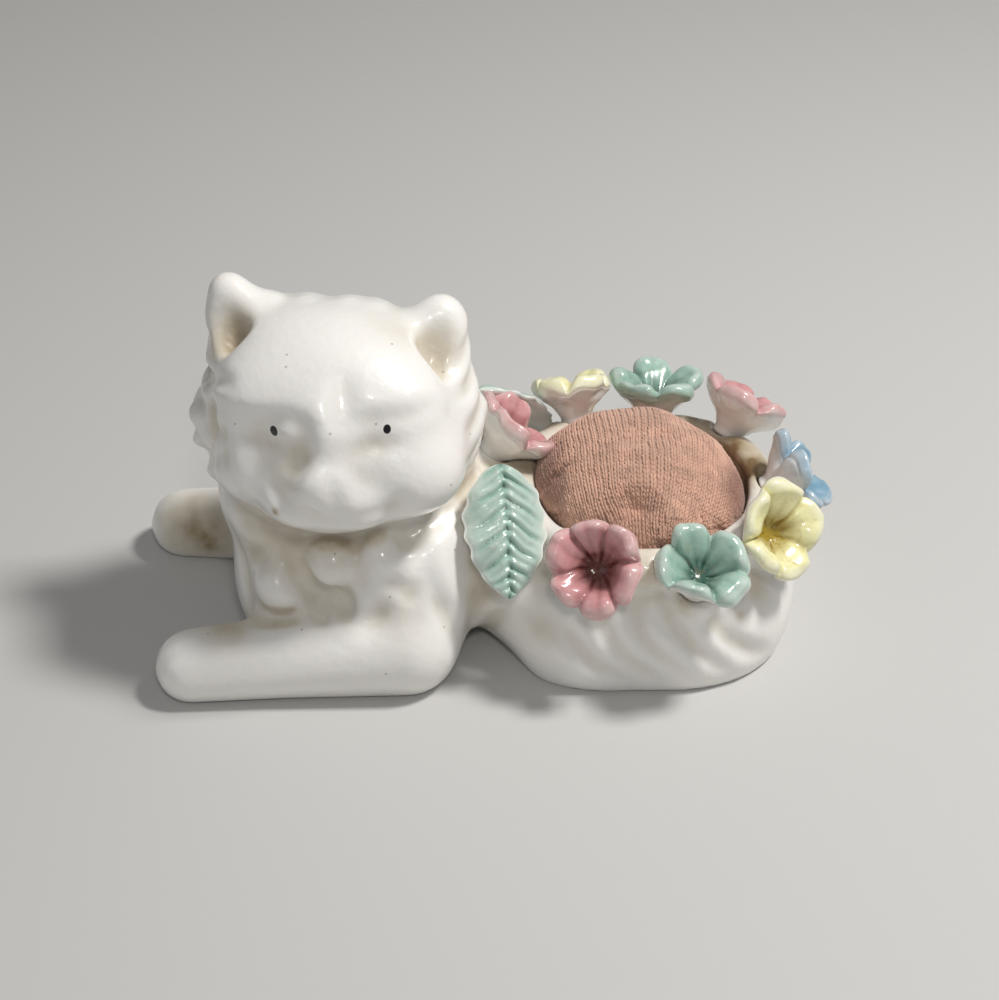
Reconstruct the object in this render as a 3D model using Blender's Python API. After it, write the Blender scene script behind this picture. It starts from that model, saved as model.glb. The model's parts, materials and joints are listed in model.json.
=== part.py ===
"""A porcelain cat that carries a knitted pincushion in its back, inside a wreath of pinched flowers.

The cat lies along X with its forelegs towards -X, and looks over its side towards -Y.
The origin is on the floor, straight under the centre of the bowl that holds the pincushion.
"""

import math

import bmesh
import bpy
import numpy as np
import openvdb
from mathutils import Matrix, Vector

MM = 0.001

# Pincushion and the bowl it sits in
PAD_RADIUS = 16.3 * MM
PAD_CROWN = 11.6 * MM
PAD_DEPTH = 8.5 * MM
PAD_CLEARANCE = 0.5 * MM
PAD_MIDDLE = 21.2 * MM
LIP_RADIUS = PAD_RADIUS + PAD_CLEARANCE + 1.6 * MM
LIP_THICKNESS = 2.6 * MM
LIP_MIDDLE = PAD_MIDDLE - 0.6 * MM

# Slip-cast shell
WALL = 3.0 * MM
VENT_RADIUS = 3.2 * MM
VENT_REACH = 12.0 * MM

# Hindquarters, a round mass under the bowl
HAUNCH_RADIUS = LIP_RADIUS + 6.6 * MM
HAUNCH_HALF_LENGTH = LIP_RADIUS + 7.2 * MM
HAUNCH_HALF_HEIGHT = 15.5 * MM
HAUNCH_MIDDLE = 7.0 * MM
TAIL_RADIUS = 4.2 * MM

# Forequarters, measured from the bowl's axis towards the head
WAIST_REACH = 24.3 * MM
WAIST_HALF_WIDTH = 11.6 * MM
CHEST_REACH = 46.5 * MM
CHEST_HALF_LENGTH = 17.5 * MM
CHEST_HALF_WIDTH = 18.0 * MM
CHEST_MIDDLE = 17.0 * MM
CHEST_HALF_HEIGHT = 23.0 * MM

# Forelegs
PAW_REACH = 69.8 * MM
PAW_RADIUS = 5.7 * MM
PAW_SPREAD = 22.4 * MM
ELBOW_REACH = 37.5 * MM
ELBOW_RADIUS = 8.4 * MM
ELBOW_SPREAD = 18.2 * MM

# Head
HEAD_REACH = 46.8 * MM
HEAD_SIDE = -4.0 * MM
HEAD_LEVEL = 38.9 * MM
HEAD_HALF_WIDTH = 20.6 * MM
HEAD_HALF_DEPTH = 17.4 * MM
HEAD_HALF_HEIGHT = 17.2 * MM
HEAD_TURN = math.radians(5.0)

# Flowers and leaves
FLOWER_MOUTH = 7.6 * MM
FLOWER_LENGTH = 6.6 * MM
FOOT_RADIUS = 2.5 * MM
FOOT_CLEARANCE = 0.36 * MM
COLLAR_WALL = 1.1 * MM
PETAL_WALL = 1.2 * MM
PETAL_NOTCH = 0.2
LEAF_LENGTH = 20.6 * MM
LEAF_WIDTH = 12.8 * MM
LEAF_WALL = 1.4 * MM
LEAF_STALK = 3.0 * MM
LEAF_TEETH = 0.06
LEAF_ROOM = 0.6 * MM
LEAF_BEND = 1.0 * MM
LEAF_ARCH = 1.2 * MM
SEAT_OPENING = 9.0 * MM

# How finely the clay is turned into faces
CLAY_STEP = 0.8 * MM
CLAY_FACES = 7400
CLAY_FLOOR = 2.5 * MM
PETAL_STEPS = 5
FAR = 1.0

HEAD_CENTRE = Vector((-HEAD_REACH, HEAD_SIDE, HEAD_LEVEL))
SOFT_WHITE = (0.83, 0.81, 0.77)
ROSE = (0.58, 0.27, 0.29)
SAGE = (0.30, 0.50, 0.43)
LEMON = (0.86, 0.82, 0.40)
SKY = (0.21, 0.38, 0.52)
DUSKY = (0.50, 0.29, 0.20)

# Each flower: bearing from +X in degrees, distance out from the lip's middle line and height over it in
# mm, the way it faces (out from the bowl, along the lip, up), its mouth and its length as shares of the
# usual ones, its spin in degrees, and how far each petal reaches.
FLOWERS = {
    "flower_pink_front": (
        ROSE, -111.5, 0.4, -2.1, (0.84, 0.06, 0.54), 1.0, 0.97, 20,
        (1.0, 0.96, 1.02, 0.98, 0.94),
    ),
    "flower_green_front": (
        SAGE, -65.5, 1.3, -1.9, (0.76, -0.10, 0.64), 0.947, 0.94, 50,
        (1.0, 0.92, 1.04, 0.94, 1.0),
    ),
    "flower_yellow_right": (
        LEMON, -26.5, 1.5, 0.4, (0.84, -0.31, 0.45), 1.0, 1.0, 10,
        (1.0, 0.97, 0.93, 1.03, 0.98),
    ),
    "flower_blue_right": (
        SKY, -3.0, 1.7, 1.8, (0.90, 0.34, 0.28), 0.908, 0.94, 35,
        (0.96, 1.0, 1.03, 0.95, 0.98),
    ),
    "flower_pink_back": (
        ROSE, 43.5, 0.9, 2.0, (0.88, -0.02, 0.48), 0.96, 1.09, 0,
        (1.0, 1.02, 0.96, 0.93, 1.0),
    ),
    "flower_green_back": (
        SAGE, 81.0, 1.4, 2.4, (0.55, 0.03, 0.83), 1.026, 1.15, 25,
        (0.97, 1.0, 1.0, 0.98, 1.02),
    ),
    "flower_yellow_back": (
        LEMON, 120.0, 0.5, 2.8, (0.62, -0.13, 0.77), 0.947, 1.045, 60,
        (1.0, 0.95, 1.0, 1.0, 0.97),
    ),
    "flower_pink_left": (
        ROSE, 168.0, 6.9, 4.6, (-0.52, -0.10, 0.85), 0.868, 1.0, 15,
        (0.96, 1.0, 0.94, 1.0, 1.0),
    ),
}

# Each leaf: bearing of the middle of its blade, distance out and height over the lip's middle line,
# the way its tip points and the way its face looks.
LEAVES = {
    "leaf_near": (-144.0, 7.8, 4.5, (0.07, -0.73, -0.68), (0.20, -0.68, 0.70)),
    "leaf_far": (139.8, 8.6, 5.4, (0.54, 0.44, -0.72), (-0.04, 0.86, 0.50)),
}

# Lumps and creases in the clay: half width and height in mm (a crease is lower than nothing), and the
# places they run by, in shares of the head's, the chest's or the haunch's half sizes.
HEAD_MARKS = (
    (3.0, -1.7, ((-0.77, 0.50, -0.70), (-0.59, 0.62, -0.78), (-0.32, 0.72, -0.82), (-0.02, 0.76, -0.84),
                 (0.32, 0.72, -0.79), (0.62, 0.62, -0.68), (0.88, 0.45, -0.60), (1.03, 0.30, -0.50))),
    (1.5, -1.2, ((-0.80, 0.50, 0.33), (-0.85, 0.50, 0.14), (-0.86, 0.50, -0.01), (-0.83, 0.50, -0.25),
                 (-0.76, 0.60, -0.40), (-0.64, 0.70, -0.49), (-0.50, 0.70, -0.58))),
    (2.4, 1.0, ((-0.88, 0.22, 0.57), (-1.00, 0.06, 0.59))),
    (2.4, 1.2, ((-0.92, 0.20, 0.27), (-1.04, 0.04, 0.30))),
    (2.4, 1.2, ((-0.94, 0.20, -0.02), (-1.05, 0.04, 0.00))),
    (2.4, 1.2, ((-0.93, 0.20, -0.28), (-1.03, 0.04, -0.28))),
    (2.4, 1.0, ((-0.89, 0.22, -0.54), (-0.98, 0.06, -0.56))),
)
CHEST_MARKS = (
    (2.2, -0.9, ((-0.78, -1.1, -0.20), (-0.61, -1.1, -0.28), (-0.35, -1.1, -0.36), (-0.09, -1.1, -0.40),
                 (0.19, -1.1, -0.36), (0.35, -1.1, -0.23), (0.41, -1.1, -0.10))),
    (4.2, 2.4, ((-0.68, -1.06, 0.02), (-0.52, -1.06, -0.05))),
    (3.8, 2.2, ((-0.16, -1.06, 0.26), (0.02, -1.06, 0.17))),
    (3.0, 1.9, ((0.34, -0.97, 0.36), (0.43, -0.97, 0.06))),
)
HAUNCH_MARKS = (
    (2.4, -0.8, ((-0.47, -0.84, 0.25), (-0.37, -0.92, 0.05), (-0.24, -0.97, -0.14), (-0.04, -0.99, -0.31))),
    (2.4, -0.9, ((-0.29, -0.86, 0.40), (-0.21, -0.95, 0.21), (-0.08, -1.00, -0.06), (0.13, -0.99, -0.28))),
    (2.2, -0.8, ((-0.09, -0.86, 0.52), (-0.02, -0.96, 0.24), (0.10, -0.99, 0.03), (0.29, -0.96, -0.23))),
    (2.0, -0.7, ((0.13, -0.86, 0.50), (0.20, -0.94, 0.29), (0.32, -0.95, 0.06), (0.48, -0.87, -0.20))),
    (1.8, -0.6, ((0.35, -0.80, 0.35), (0.45, -0.82, 0.15), (0.57, -0.78, -0.04), (0.70, -0.70, -0.20))),
)


class Form:
    """A shape as a distance, negative inside, with the box that holds it."""

    def __init__(self, distance, low, high):
        self.distance = distance
        self.low = Vector(low)
        self.high = Vector(high)


def egg(centre, radii, turn=None):
    """An ellipsoid with its axes along the world's, or along the columns of turn."""
    centre = Vector(centre)
    columns = np.eye(3) if turn is None else np.array(turn)
    sizes = np.array(radii)
    reach = Vector(np.sqrt((columns * sizes) ** 2 @ np.ones(3)))

    def distance(x, y, z):
        offset = (x - centre.x, y - centre.y, z - centre.z)
        near = 0
        steep = 0
        for axis in range(3):
            along = sum(offset[i] * columns[i, axis] for i in range(3)) / sizes[axis]
            near = near + along**2
            steep = steep + (along / sizes[axis]) ** 2
        near = np.sqrt(near)
        return near * (near - 1) / np.maximum(np.sqrt(steep), 1e-6)

    return Form(distance, centre - reach, centre + reach)


def limb(stations):
    """A rounded limb through stations, each a point with its radius."""
    points = [Vector(point) for point, _ in stations]
    widths = [radius for _, radius in stations]

    def distance(x, y, z):
        nearest = np.full(x.shape, FAR, np.float32)
        for start, end, near, far in zip(points, points[1:], widths, widths[1:]):
            run = end - start
            share = (x - start.x) * run.x + (y - start.y) * run.y + (z - start.z) * run.z
            share = np.clip(share / run.length_squared, 0, 1)
            gap = np.sqrt(
                (x - start.x - share * run.x) ** 2
                + (y - start.y - share * run.y) ** 2
                + (z - start.z - share * run.z) ** 2
            )
            nearest = np.minimum(nearest, gap - near - share * (far - near))
        return nearest

    widest = Vector((max(widths),) * 3)
    low = Vector([min(point[i] for point in points) for i in range(3)])
    high = Vector([max(point[i] for point in points) for i in range(3)])
    return Form(distance, low - widest, high + widest)


def ring(height, radius, thickness):
    """A round ring lying level about the bowl's axis."""

    def distance(x, y, z):
        return np.hypot(np.hypot(x, y) - radius, z - height) - thickness

    reach = Vector((radius + thickness, radius + thickness, thickness))
    middle = Vector((0, 0, height))
    return Form(distance, middle - reach, middle + reach)


def cushion(clearance):
    """The pincushion grown by clearance: domed above its middle, shallower below."""
    upper = egg((0, 0, PAD_MIDDLE), [size + clearance for size in (PAD_RADIUS, PAD_RADIUS, PAD_CROWN)])
    lower = egg((0, 0, PAD_MIDDLE), [size + clearance for size in (PAD_RADIUS, PAD_RADIUS, PAD_DEPTH)])

    def distance(x, y, z):
        return np.where(z > PAD_MIDDLE, upper.distance(x, y, z), lower.distance(x, y, z))

    return Form(distance, (*upper.low[:2], lower.low.z), upper.high)


def soft_least(first, second, blend):
    """The lesser of two distances, rounded where they come within blend of each other."""
    share = np.maximum(blend - np.abs(first - second), 0) / blend
    return np.minimum(first, second) - share**2 * blend / 4


class Clay:
    """Clay in a box, kept as distances on a grid, that is built up and carved."""

    def __init__(self, low, high, step):
        self.low = Vector(low)
        self.step = step
        counts = [math.ceil((high[i] - low[i]) / step) + 1 for i in range(3)]
        self.field = np.full(counts, FAR, np.float32)

    def window(self, form, margin):
        """The part of the grid that form reaches, and the coordinates there."""
        spans = []
        ticks = []
        for axis in range(3):
            count = self.field.shape[axis]
            first = math.floor((form.low[axis] - margin - self.low[axis]) / self.step)
            last = math.ceil((form.high[axis] + margin - self.low[axis]) / self.step) + 1
            span = slice(min(max(first, 0), count), min(max(last, 0), count))
            spans.append(span)
            ticks.append(np.arange(span.start, span.stop, dtype=np.float32) * self.step + self.low[axis])
        return tuple(spans), np.meshgrid(*ticks, indexing="ij")

    def add(self, form, blend):
        where, places = self.window(form, blend + 3 * self.step)
        self.field[where] = soft_least(self.field[where], form.distance(*places), blend)

    def carve(self, form, blend):
        where, places = self.window(form, blend + 3 * self.step)
        self.field[where] = -soft_least(-self.field[where], form.distance(*places), blend)

    def level(self, bottom):
        """Cuts the clay off flat at bottom."""
        heights = np.arange(self.field.shape[2]) * self.step + self.low.z
        self.field = np.maximum(self.field, (bottom - heights).astype(np.float32))

    def value(self, places):
        """The distance at places, an array of points."""
        ticks = (places - np.array(self.low)) / self.step
        ticks = np.clip(ticks, 0, np.array(self.field.shape) - 1.001)
        base = ticks.astype(int)
        share = ticks - base
        total = 0
        for corner in np.ndindex(2, 2, 2):
            weight = np.prod(np.where(corner, share, 1 - share), axis=-1)
            total = total + weight * self.field[tuple(np.moveaxis(base + corner, -1, 0))]
        return total

    def slope(self, places):
        """The way out of the clay at places."""
        steps = np.eye(3) * self.step
        out = np.stack([self.value(places + step) - self.value(places - step) for step in steps], -1)
        return out / np.maximum(np.linalg.norm(out, axis=-1, keepdims=True), 1e-9)

    def settle(self, places):
        """Places moved to the clay's surface."""
        for _ in range(8):
            places = places - self.slope(places) * self.value(places)[..., None] * 0.8
        return places

    def mesh(self, name):
        """The surface of the clay."""
        grid = openvdb.FloatGrid(FAR)
        grid.copyFromArray(self.field)
        points, quads = grid.convertToQuads(0.0)
        places = points.astype(float) * self.step + np.array(self.low)
        mesh = bpy.data.meshes.new(name)
        mesh.from_pydata(places.tolist(), [], quads.tolist())
        return mesh


def smooth_path(points, count):
    """Count points along a smooth curve through points."""
    points = np.array(points, float)
    padded = np.vstack([2 * points[0] - points[1], points, 2 * points[-1] - points[-2]])
    steps = np.linspace(0, len(points) - 1 - 1e-6, count)
    first = steps.astype(int)
    t = (steps - first)[:, None]
    a, b, c, d = (padded[first + i] for i in range(4))
    return 0.5 * (2 * b + (c - a) * t + (2 * a - 5 * b + 4 * c - d) * t**2 + (3 * b - a - 3 * c + d) * t**3)


def draw(clay, path, radius, height, blend):
    """Raises a ridge along a path on the clay, or cuts a crease where height is below nothing."""
    fade = np.sin(np.pi * np.linspace(0, 1, len(path))) ** 0.5
    sink = radius - abs(height) * fade
    sign = -1 if height > 0 else 1
    centres = path + sign * clay.slope(path) * sink[:, None]
    form = limb([(centre, radius) for centre in centres])
    if height > 0:
        clay.add(form, blend)
    else:
        clay.carve(form, blend)


def material(name, colour, roughness):
    made = bpy.data.materials.new(name)
    made.use_nodes = True
    shader = made.node_tree.nodes["Principled BSDF"]
    shader.inputs["Base Color"].default_value = (*colour, 1)
    shader.inputs["Roughness"].default_value = roughness
    shader.inputs["Metallic"].default_value = 0
    return made


def add_object(name, mesh, finish):
    """Puts a mesh in the scene under its name."""
    made = bpy.data.objects.new(name, mesh)
    mesh.materials.append(finish)
    mesh.shade_smooth()
    bpy.context.scene.collection.objects.link(made)
    return made


def cut_away(target, cutter):
    """Cuts a hidden helper out of a part."""
    cutter.hide_render = True
    cutter.display_type = "WIRE"
    cut = target.modifiers.new(f"without {cutter.name}", "BOOLEAN")
    cut.operation = "DIFFERENCE"
    cut.solver = "EXACT"
    cut.object = cutter


def block(name, low, high):
    mesh = bpy.data.meshes.new(name)
    form = bmesh.new()
    size = Vector(high) - Vector(low)
    place = Matrix.Translation((Vector(low) + Vector(high)) / 2) @ Matrix.Diagonal((*size, 1))
    bmesh.ops.create_cube(form, size=1, matrix=place)
    form.to_mesh(mesh)
    form.free()
    return mesh


def rod(name, radius, length, sides, place):
    """A round bar that starts at place and runs along its Z."""
    mesh = bpy.data.meshes.new(name)
    form = bmesh.new()
    bmesh.ops.create_cone(
        form,
        cap_ends=True,
        segments=sides,
        radius1=radius,
        radius2=radius,
        depth=length,
        matrix=place @ Matrix.Translation((0, 0, length / 2)),
    )
    form.to_mesh(mesh)
    form.free()
    return mesh


def facing(place, axis, hint):
    """A frame at place with its Z along axis and its X as near as can be to hint."""
    up = Vector(axis).normalized()
    side = Vector(hint) - up * up.dot(Vector(hint))
    side.normalize()
    turn = Matrix((side, up.cross(side), up)).transposed()
    return Matrix.Translation(place) @ turn.to_4x4()


def lip_point(bearing, out=0.0, rise=0.0):
    """A point by the lip's middle line: bearing from +X, distance out, height over it."""
    reach = LIP_RADIUS + out
    return Vector((reach * math.cos(bearing), reach * math.sin(bearing), LIP_MIDDLE + rise))


def flower_frame(bearing, out, rise, lean, spin):
    """A flower's frame at the underside of its foot, with Z out through its mouth."""
    bearing = math.radians(bearing)
    outward = Vector((math.cos(bearing), math.sin(bearing), 0))
    along = Vector((-math.sin(bearing), math.cos(bearing), 0))
    axis = outward * lean[0] + along * lean[1] + Vector((0, 0, lean[2]))
    frame = facing(lip_point(bearing, out * MM, rise * MM), axis, along)
    return frame @ Matrix.Rotation(math.radians(spin), 4, "Z")


def leaf_frame(bearing, out, rise, tip, face):
    """A leaf's frame at the middle of its blade: X to its tip, Z out of its face."""
    return facing(lip_point(math.radians(bearing), out * MM, rise * MM), face, tip)


def leaf_seat(frame):
    """Where the underside of a leaf's stalk is, and the frame there."""
    return frame @ Matrix.Translation((-0.18 * LEAF_LENGTH, 0, -LEAF_WALL / 2 - LEAF_STALK))


def head_turn():
    """Columns: towards the viewer's right, out through the nose, up through the crown."""
    return Matrix.Rotation(-HEAD_TURN, 3, "Z") @ Matrix.Diagonal((1, -1, 1))


def on_head(side, ahead, up):
    """A place in the head, in shares of its half width, half depth and half height."""
    reach = Vector((side * HEAD_HALF_WIDTH, ahead * HEAD_HALF_DEPTH, up * HEAD_HALF_HEIGHT))
    return HEAD_CENTRE + head_turn() @ reach


def head_egg(place, size):
    """An egg in the head's own directions, in shares of the head's half sizes."""
    radii = (size[0] * HEAD_HALF_WIDTH, size[1] * HEAD_HALF_DEPTH, size[2] * HEAD_HALF_HEIGHT)
    return egg(on_head(*place), radii, head_turn())


def add_hindquarters(clay):
    """Builds up the drum under the bowl, a thigh on each side and the tail round the back."""
    clay.add(egg((0, 0, HAUNCH_MIDDLE), (HAUNCH_HALF_LENGTH, HAUNCH_RADIUS, HAUNCH_HALF_HEIGHT)), 2 * MM)
    for side in (-1, 1):
        thigh = (0.62 * HAUNCH_HALF_LENGTH, 0.55 * HAUNCH_RADIUS, 0.82 * HAUNCH_HALF_HEIGHT)
        for ahead, out, up in ((-0.30, 0.40, 0.323), (0.26, 0.36, 0.258)):
            middle = (ahead * HAUNCH_HALF_LENGTH, side * out * HAUNCH_RADIUS, up * HAUNCH_HALF_HEIGHT)
            clay.add(egg(middle, thigh), 4 * MM)
    clay.add(ring(LIP_MIDDLE, LIP_RADIUS, LIP_THICKNESS), 3 * MM)


def add_tail(clay):
    """Lays the tail round the far side of the haunch."""
    stations = []
    for share in (0.0, 0.25, 0.5, 0.75, 1.0):
        bearing = math.radians(35 + 105 * share)
        reach = 0.984 * HAUNCH_RADIUS
        place = (reach * math.cos(bearing), reach * math.sin(bearing), TAIL_RADIUS)
        stations.append((place, TAIL_RADIUS * (1 - 0.25 * share)))
    clay.add(limb(stations), 1.5 * MM)


def add_forequarters(clay):
    """Builds up the waist, the withers, the shoulders and the chest."""
    length, width, height = CHEST_HALF_LENGTH, CHEST_HALF_WIDTH, CHEST_HALF_HEIGHT
    loin = (-0.918 * WAIST_REACH, 0, 0.706 * CHEST_MIDDLE)
    clay.add(egg(loin, (0.857 * length, 0.833 * width, 0.50 * height)), 5 * MM)
    withers = (-1.412 * WAIST_REACH, 0, 1.03 * CHEST_MIDDLE)
    clay.add(egg(withers, (0.771 * length, 0.889 * width, 0.543 * height)), 5 * MM)
    clay.add(egg((-CHEST_REACH, 0, CHEST_MIDDLE), (length, width, height)), 5 * MM)
    bib = (-1.108 * CHEST_REACH, -0.111 * width, 1.47 * CHEST_MIDDLE)
    clay.add(egg(bib, (0.829 * length, 0.833 * width, 0.565 * height)), 4 * MM)
    breast = (-1.172 * CHEST_REACH, -0.278 * width, 0.53 * CHEST_MIDDLE)
    clay.add(egg(breast, (0.571 * length, 0.778 * width, 0.478 * height)), 4 * MM)
    for side in (-1, 1):
        shoulder = (-0.794 * CHEST_REACH, side * 0.66 * width, 0.735 * CHEST_MIDDLE)
        clay.add(egg(shoulder, (0.62 * length, 0.60 * width, 0.70 * height)), 4 * MM)


def add_forelegs(clay):
    """Lays the forelegs on the floor, the one on the display side spread wider."""
    for side, reach, spread in ((-1, PAW_REACH, PAW_SPREAD), (1, 1.077 * PAW_REACH, 0.72 * PAW_SPREAD)):
        elbow = (-ELBOW_REACH, side * ELBOW_SPREAD, 0.74 * ELBOW_RADIUS)
        wrist = (-0.6 * reach - 0.4 * ELBOW_REACH, side * 0.94 * spread, 0.90 * PAW_RADIUS)
        paw = (-reach, side * spread, 0.80 * PAW_RADIUS)
        clay.add(limb([(elbow, ELBOW_RADIUS), (wrist, 1.12 * PAW_RADIUS), (paw, PAW_RADIUS)]), 3 * MM)


def notch_waist(clay):
    """Draws the flanks in at the floor, between the elbows and the haunches."""
    for side in (-1, 1):
        depth = 1.38 * WAIST_HALF_WIDTH
        middle = (-WAIST_REACH, side * (WAIST_HALF_WIDTH + depth), -0.26 * HAUNCH_HALF_HEIGHT)
        hollow = egg(middle, (0.313 * WAIST_REACH, 1.06 * depth, 0.71 * HAUNCH_HALF_HEIGHT))
        clay.carve(hollow, 3 * MM)


def add_head(clay):
    """Builds up the skull, the flat crown, the jaw and the ruff that frames the face."""
    clay.add(head_egg((0, 0, 0), (1, 1, 1)), 4 * MM)
    clay.add(head_egg((-0.34, -0.12, 0.46), (0.50, 0.64, 0.48)), 3 * MM)
    clay.add(head_egg((0.30, -0.12, 0.38), (0.50, 0.64, 0.48)), 3 * MM)
    clay.add(head_egg((-0.82, -0.18, -0.23), (0.34, 0.44, 0.56)), 3 * MM)
    clay.add(head_egg((0.72, -0.10, -0.14), (0.34, 0.50, 0.66)), 3 * MM)
    clay.add(head_egg((0.04, 0.36, -0.46), (0.58, 0.50, 0.40)), 4 * MM)


def add_face(clay):
    """Models the forehead, brows, cheeks, nose, muzzle and chin, and draws in the sockets of the eyes."""
    clay.add(head_egg((0, 0.26, 0.50), (0.62, 0.50, 0.38)), 6 * MM)
    for side in (-1, 1):
        clay.add(head_egg((side * 0.42, 0.52, 0.44), (0.36, 0.28, 0.22)), 5 * MM)
        clay.carve(head_egg((side * 0.43, 1.06, 0.27), (0.28, 0.20, 0.10)), 3 * MM)
    clay.add(head_egg((-0.54, 0.60, -0.14), (0.28, 0.38, 0.34)), 3.5 * MM)
    clay.add(head_egg((0.54, 0.60, -0.13), (0.45, 0.46, 0.42)), 4.5 * MM)
    clay.add(head_egg((0.00, 0.74, 0.20), (0.24, 0.30, 0.36)), 5 * MM)
    clay.add(head_egg((0.02, 0.80, -0.26), (0.42, 0.40, 0.30)), 4 * MM)
    clay.add(head_egg((-0.02, 1.08, -0.02), (0.18, 0.14, 0.14)), 3.5 * MM)
    for side in (-1, 1):
        clay.add(head_egg((0.03 + side * 0.21, 0.97, -0.27), (0.22, 0.22, 0.20)), 2.5 * MM)
    clay.add(head_egg((0.04, 0.76, -0.46), (0.28, 0.24, 0.14)), 2.5 * MM)


def add_ears(clay):
    """Sets up the two thick ears with shallow cups; the one away from the bowl stands taller."""
    for side, share, base, tip in (
        (-1, 0.320, on_head(-0.66, -0.14, 0.50), on_head(-0.80, -0.34, 0.99)),
        (1, 0.272, on_head(0.62, -0.14, 0.48), on_head(0.735, -0.34, 0.845)),
    ):
        turn = facing((0, 0, 0), tip - base, (1, 0, 0)).to_3x3()
        width = share * HEAD_HALF_WIDTH
        thickness = 0.253 * HEAD_HALF_DEPTH
        clay.add(egg(base.lerp(tip, 0.22), (width, thickness, 0.465 * HEAD_HALF_HEIGHT), turn), 3 * MM)
        clay.add(limb([(base, 0.8 * width), (tip, 0.157 * HEAD_HALF_HEIGHT)]), 3 * MM)
        cup = base.lerp(tip, 0.62) + head_turn() @ Vector((side * 0.05 * thickness, 1.23 * thickness, 0))
        clay.carve(egg(cup, (0.42 * width, 0.60 * thickness, 0.25 * HEAD_HALF_HEIGHT), turn), 3 * MM)


def on_chest(ahead, side, up):
    """A place in the chest, in shares of its half length, half width and half height."""
    reach = Vector((ahead * CHEST_HALF_LENGTH, side * CHEST_HALF_WIDTH, up * CHEST_HALF_HEIGHT))
    return Vector((-CHEST_REACH, 0, CHEST_MIDDLE)) + reach


def on_haunch(ahead, side, up):
    """A place in the haunch, in shares of its half length, its radius and its half height."""
    reach = Vector((ahead * HAUNCH_HALF_LENGTH, side * HAUNCH_RADIUS, up * HAUNCH_HALF_HEIGHT))
    return Vector((0, 0, HAUNCH_MIDDLE)) + reach


def add_marks(clay):
    """Draws the deep crease under the jaw, the curls of the chest and the sweeps of fur on the thigh."""
    for place, marks in ((on_head, HEAD_MARKS), (on_chest, CHEST_MARKS), (on_haunch, HAUNCH_MARKS)):
        for radius, height, shares in marks:
            path = smooth_path([place(*share) for share in shares], 4 * len(shares))
            draw(clay, clay.settle(path), radius * MM, height * MM, 1.5 * MM)


def add_collars(clay):
    """Raises a small boss of slip under every flower and leaf."""
    for _, bearing, out, rise, lean, _, _, spin, _ in FLOWERS.values():
        frame = flower_frame(bearing, out, rise, lean, spin)
        seat = frame.translation
        axis = frame.to_3x3() @ Vector((0, 0, 1))
        root = lip_point(math.radians(bearing), out * MM * 0.5, -2.5 * MM)
        if (seat - root).length < 1 * MM:
            root -= Vector((0, 0, 2 * MM))
        radius = FOOT_RADIUS + FOOT_CLEARANCE + COLLAR_WALL
        clay.add(limb([(root, radius), (seat - axis * 1.2 * MM, radius)]), 2 * MM)
    for placing in LEAVES.values():
        seat = leaf_seat(leaf_frame(*placing))
        axis = seat.to_3x3() @ Vector((0, 0, 1))
        foot = seat.translation
        root = Vector((foot.x, 0.45 * foot.y, 14 * MM))
        radius = FOOT_RADIUS + FOOT_CLEARANCE + COLLAR_WALL
        clay.add(limb([(root, radius * 1.3), (foot - axis * 1.6 * MM, radius)]), 3 * MM)


def leaf_sag(along, across):
    """How far a leaf's blade bends down, at shares of its half length and half width."""
    return -LEAF_BEND * along**2 - LEAF_ARCH * abs(across)


def leaf_room(frame):
    """The room over and around a leaf's blade, down to its underside."""
    turn = np.array(frame.to_3x3())
    origin = np.array(frame.translation)
    half = (LEAF_LENGTH / 2 + LEAF_ROOM, (1 + LEAF_TEETH) * LEAF_WIDTH / 2 + LEAF_ROOM)
    height = 2 * LEAF_STALK

    def distance(x, y, z):
        local = [sum((p - origin[i]) * turn[i, axis] for i, p in enumerate((x, y, z))) for axis in range(3)]
        along, across = (np.clip(np.abs(local[i]) / half[i], 0, 1) for i in range(2))
        under = leaf_sag(along, across) - LEAF_WALL / 2 - LEAF_ROOM - local[2]
        sides = np.maximum(np.abs(local[0]) - half[0], np.abs(local[1]) - half[1])
        return np.maximum(np.maximum(sides, under), local[2] - height)

    middle = Vector(origin)
    span = Vector((1, 1, 1)) * math.hypot(*half, height)
    return Form(distance, middle - span, middle + span)


def sculpt_body():
    """The whole cat as one shell, before its base is cut flat."""
    low = Vector((-PAW_REACH - 15 * MM, -HAUNCH_RADIUS - 5 * MM, -CLAY_FLOOR - 2 * MM))
    high = Vector((HAUNCH_RADIUS + 7 * MM, HAUNCH_RADIUS + 7 * MM, HEAD_LEVEL + HEAD_HALF_HEIGHT * 1.6))
    clay = Clay(low, high, CLAY_STEP)
    add_hindquarters(clay)
    add_forequarters(clay)
    clay.add(head_egg((0, 0, 0), (1, 1, 1)), 4 * MM)
    notch_waist(clay)
    clay.carve(cushion(PAD_CLEARANCE), 0.8 * MM)
    shell = Clay(low, high, CLAY_STEP)
    shell.field = clay.field.copy()
    shell.level(0.0)
    inside = shell.field + WALL
    add_tail(clay)
    add_forelegs(clay)
    add_head(clay)
    add_face(clay)
    add_ears(clay)
    add_marks(clay)
    add_collars(clay)
    clay.carve(cushion(PAD_CLEARANCE), 0.8 * MM)
    for placing in LEAVES.values():
        clay.carve(leaf_room(leaf_frame(*placing)), 0.4 * MM)
    clay.level(-CLAY_FLOOR)
    clay.field = np.maximum(clay.field, -inside)
    return clay.mesh("cat_body")


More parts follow.
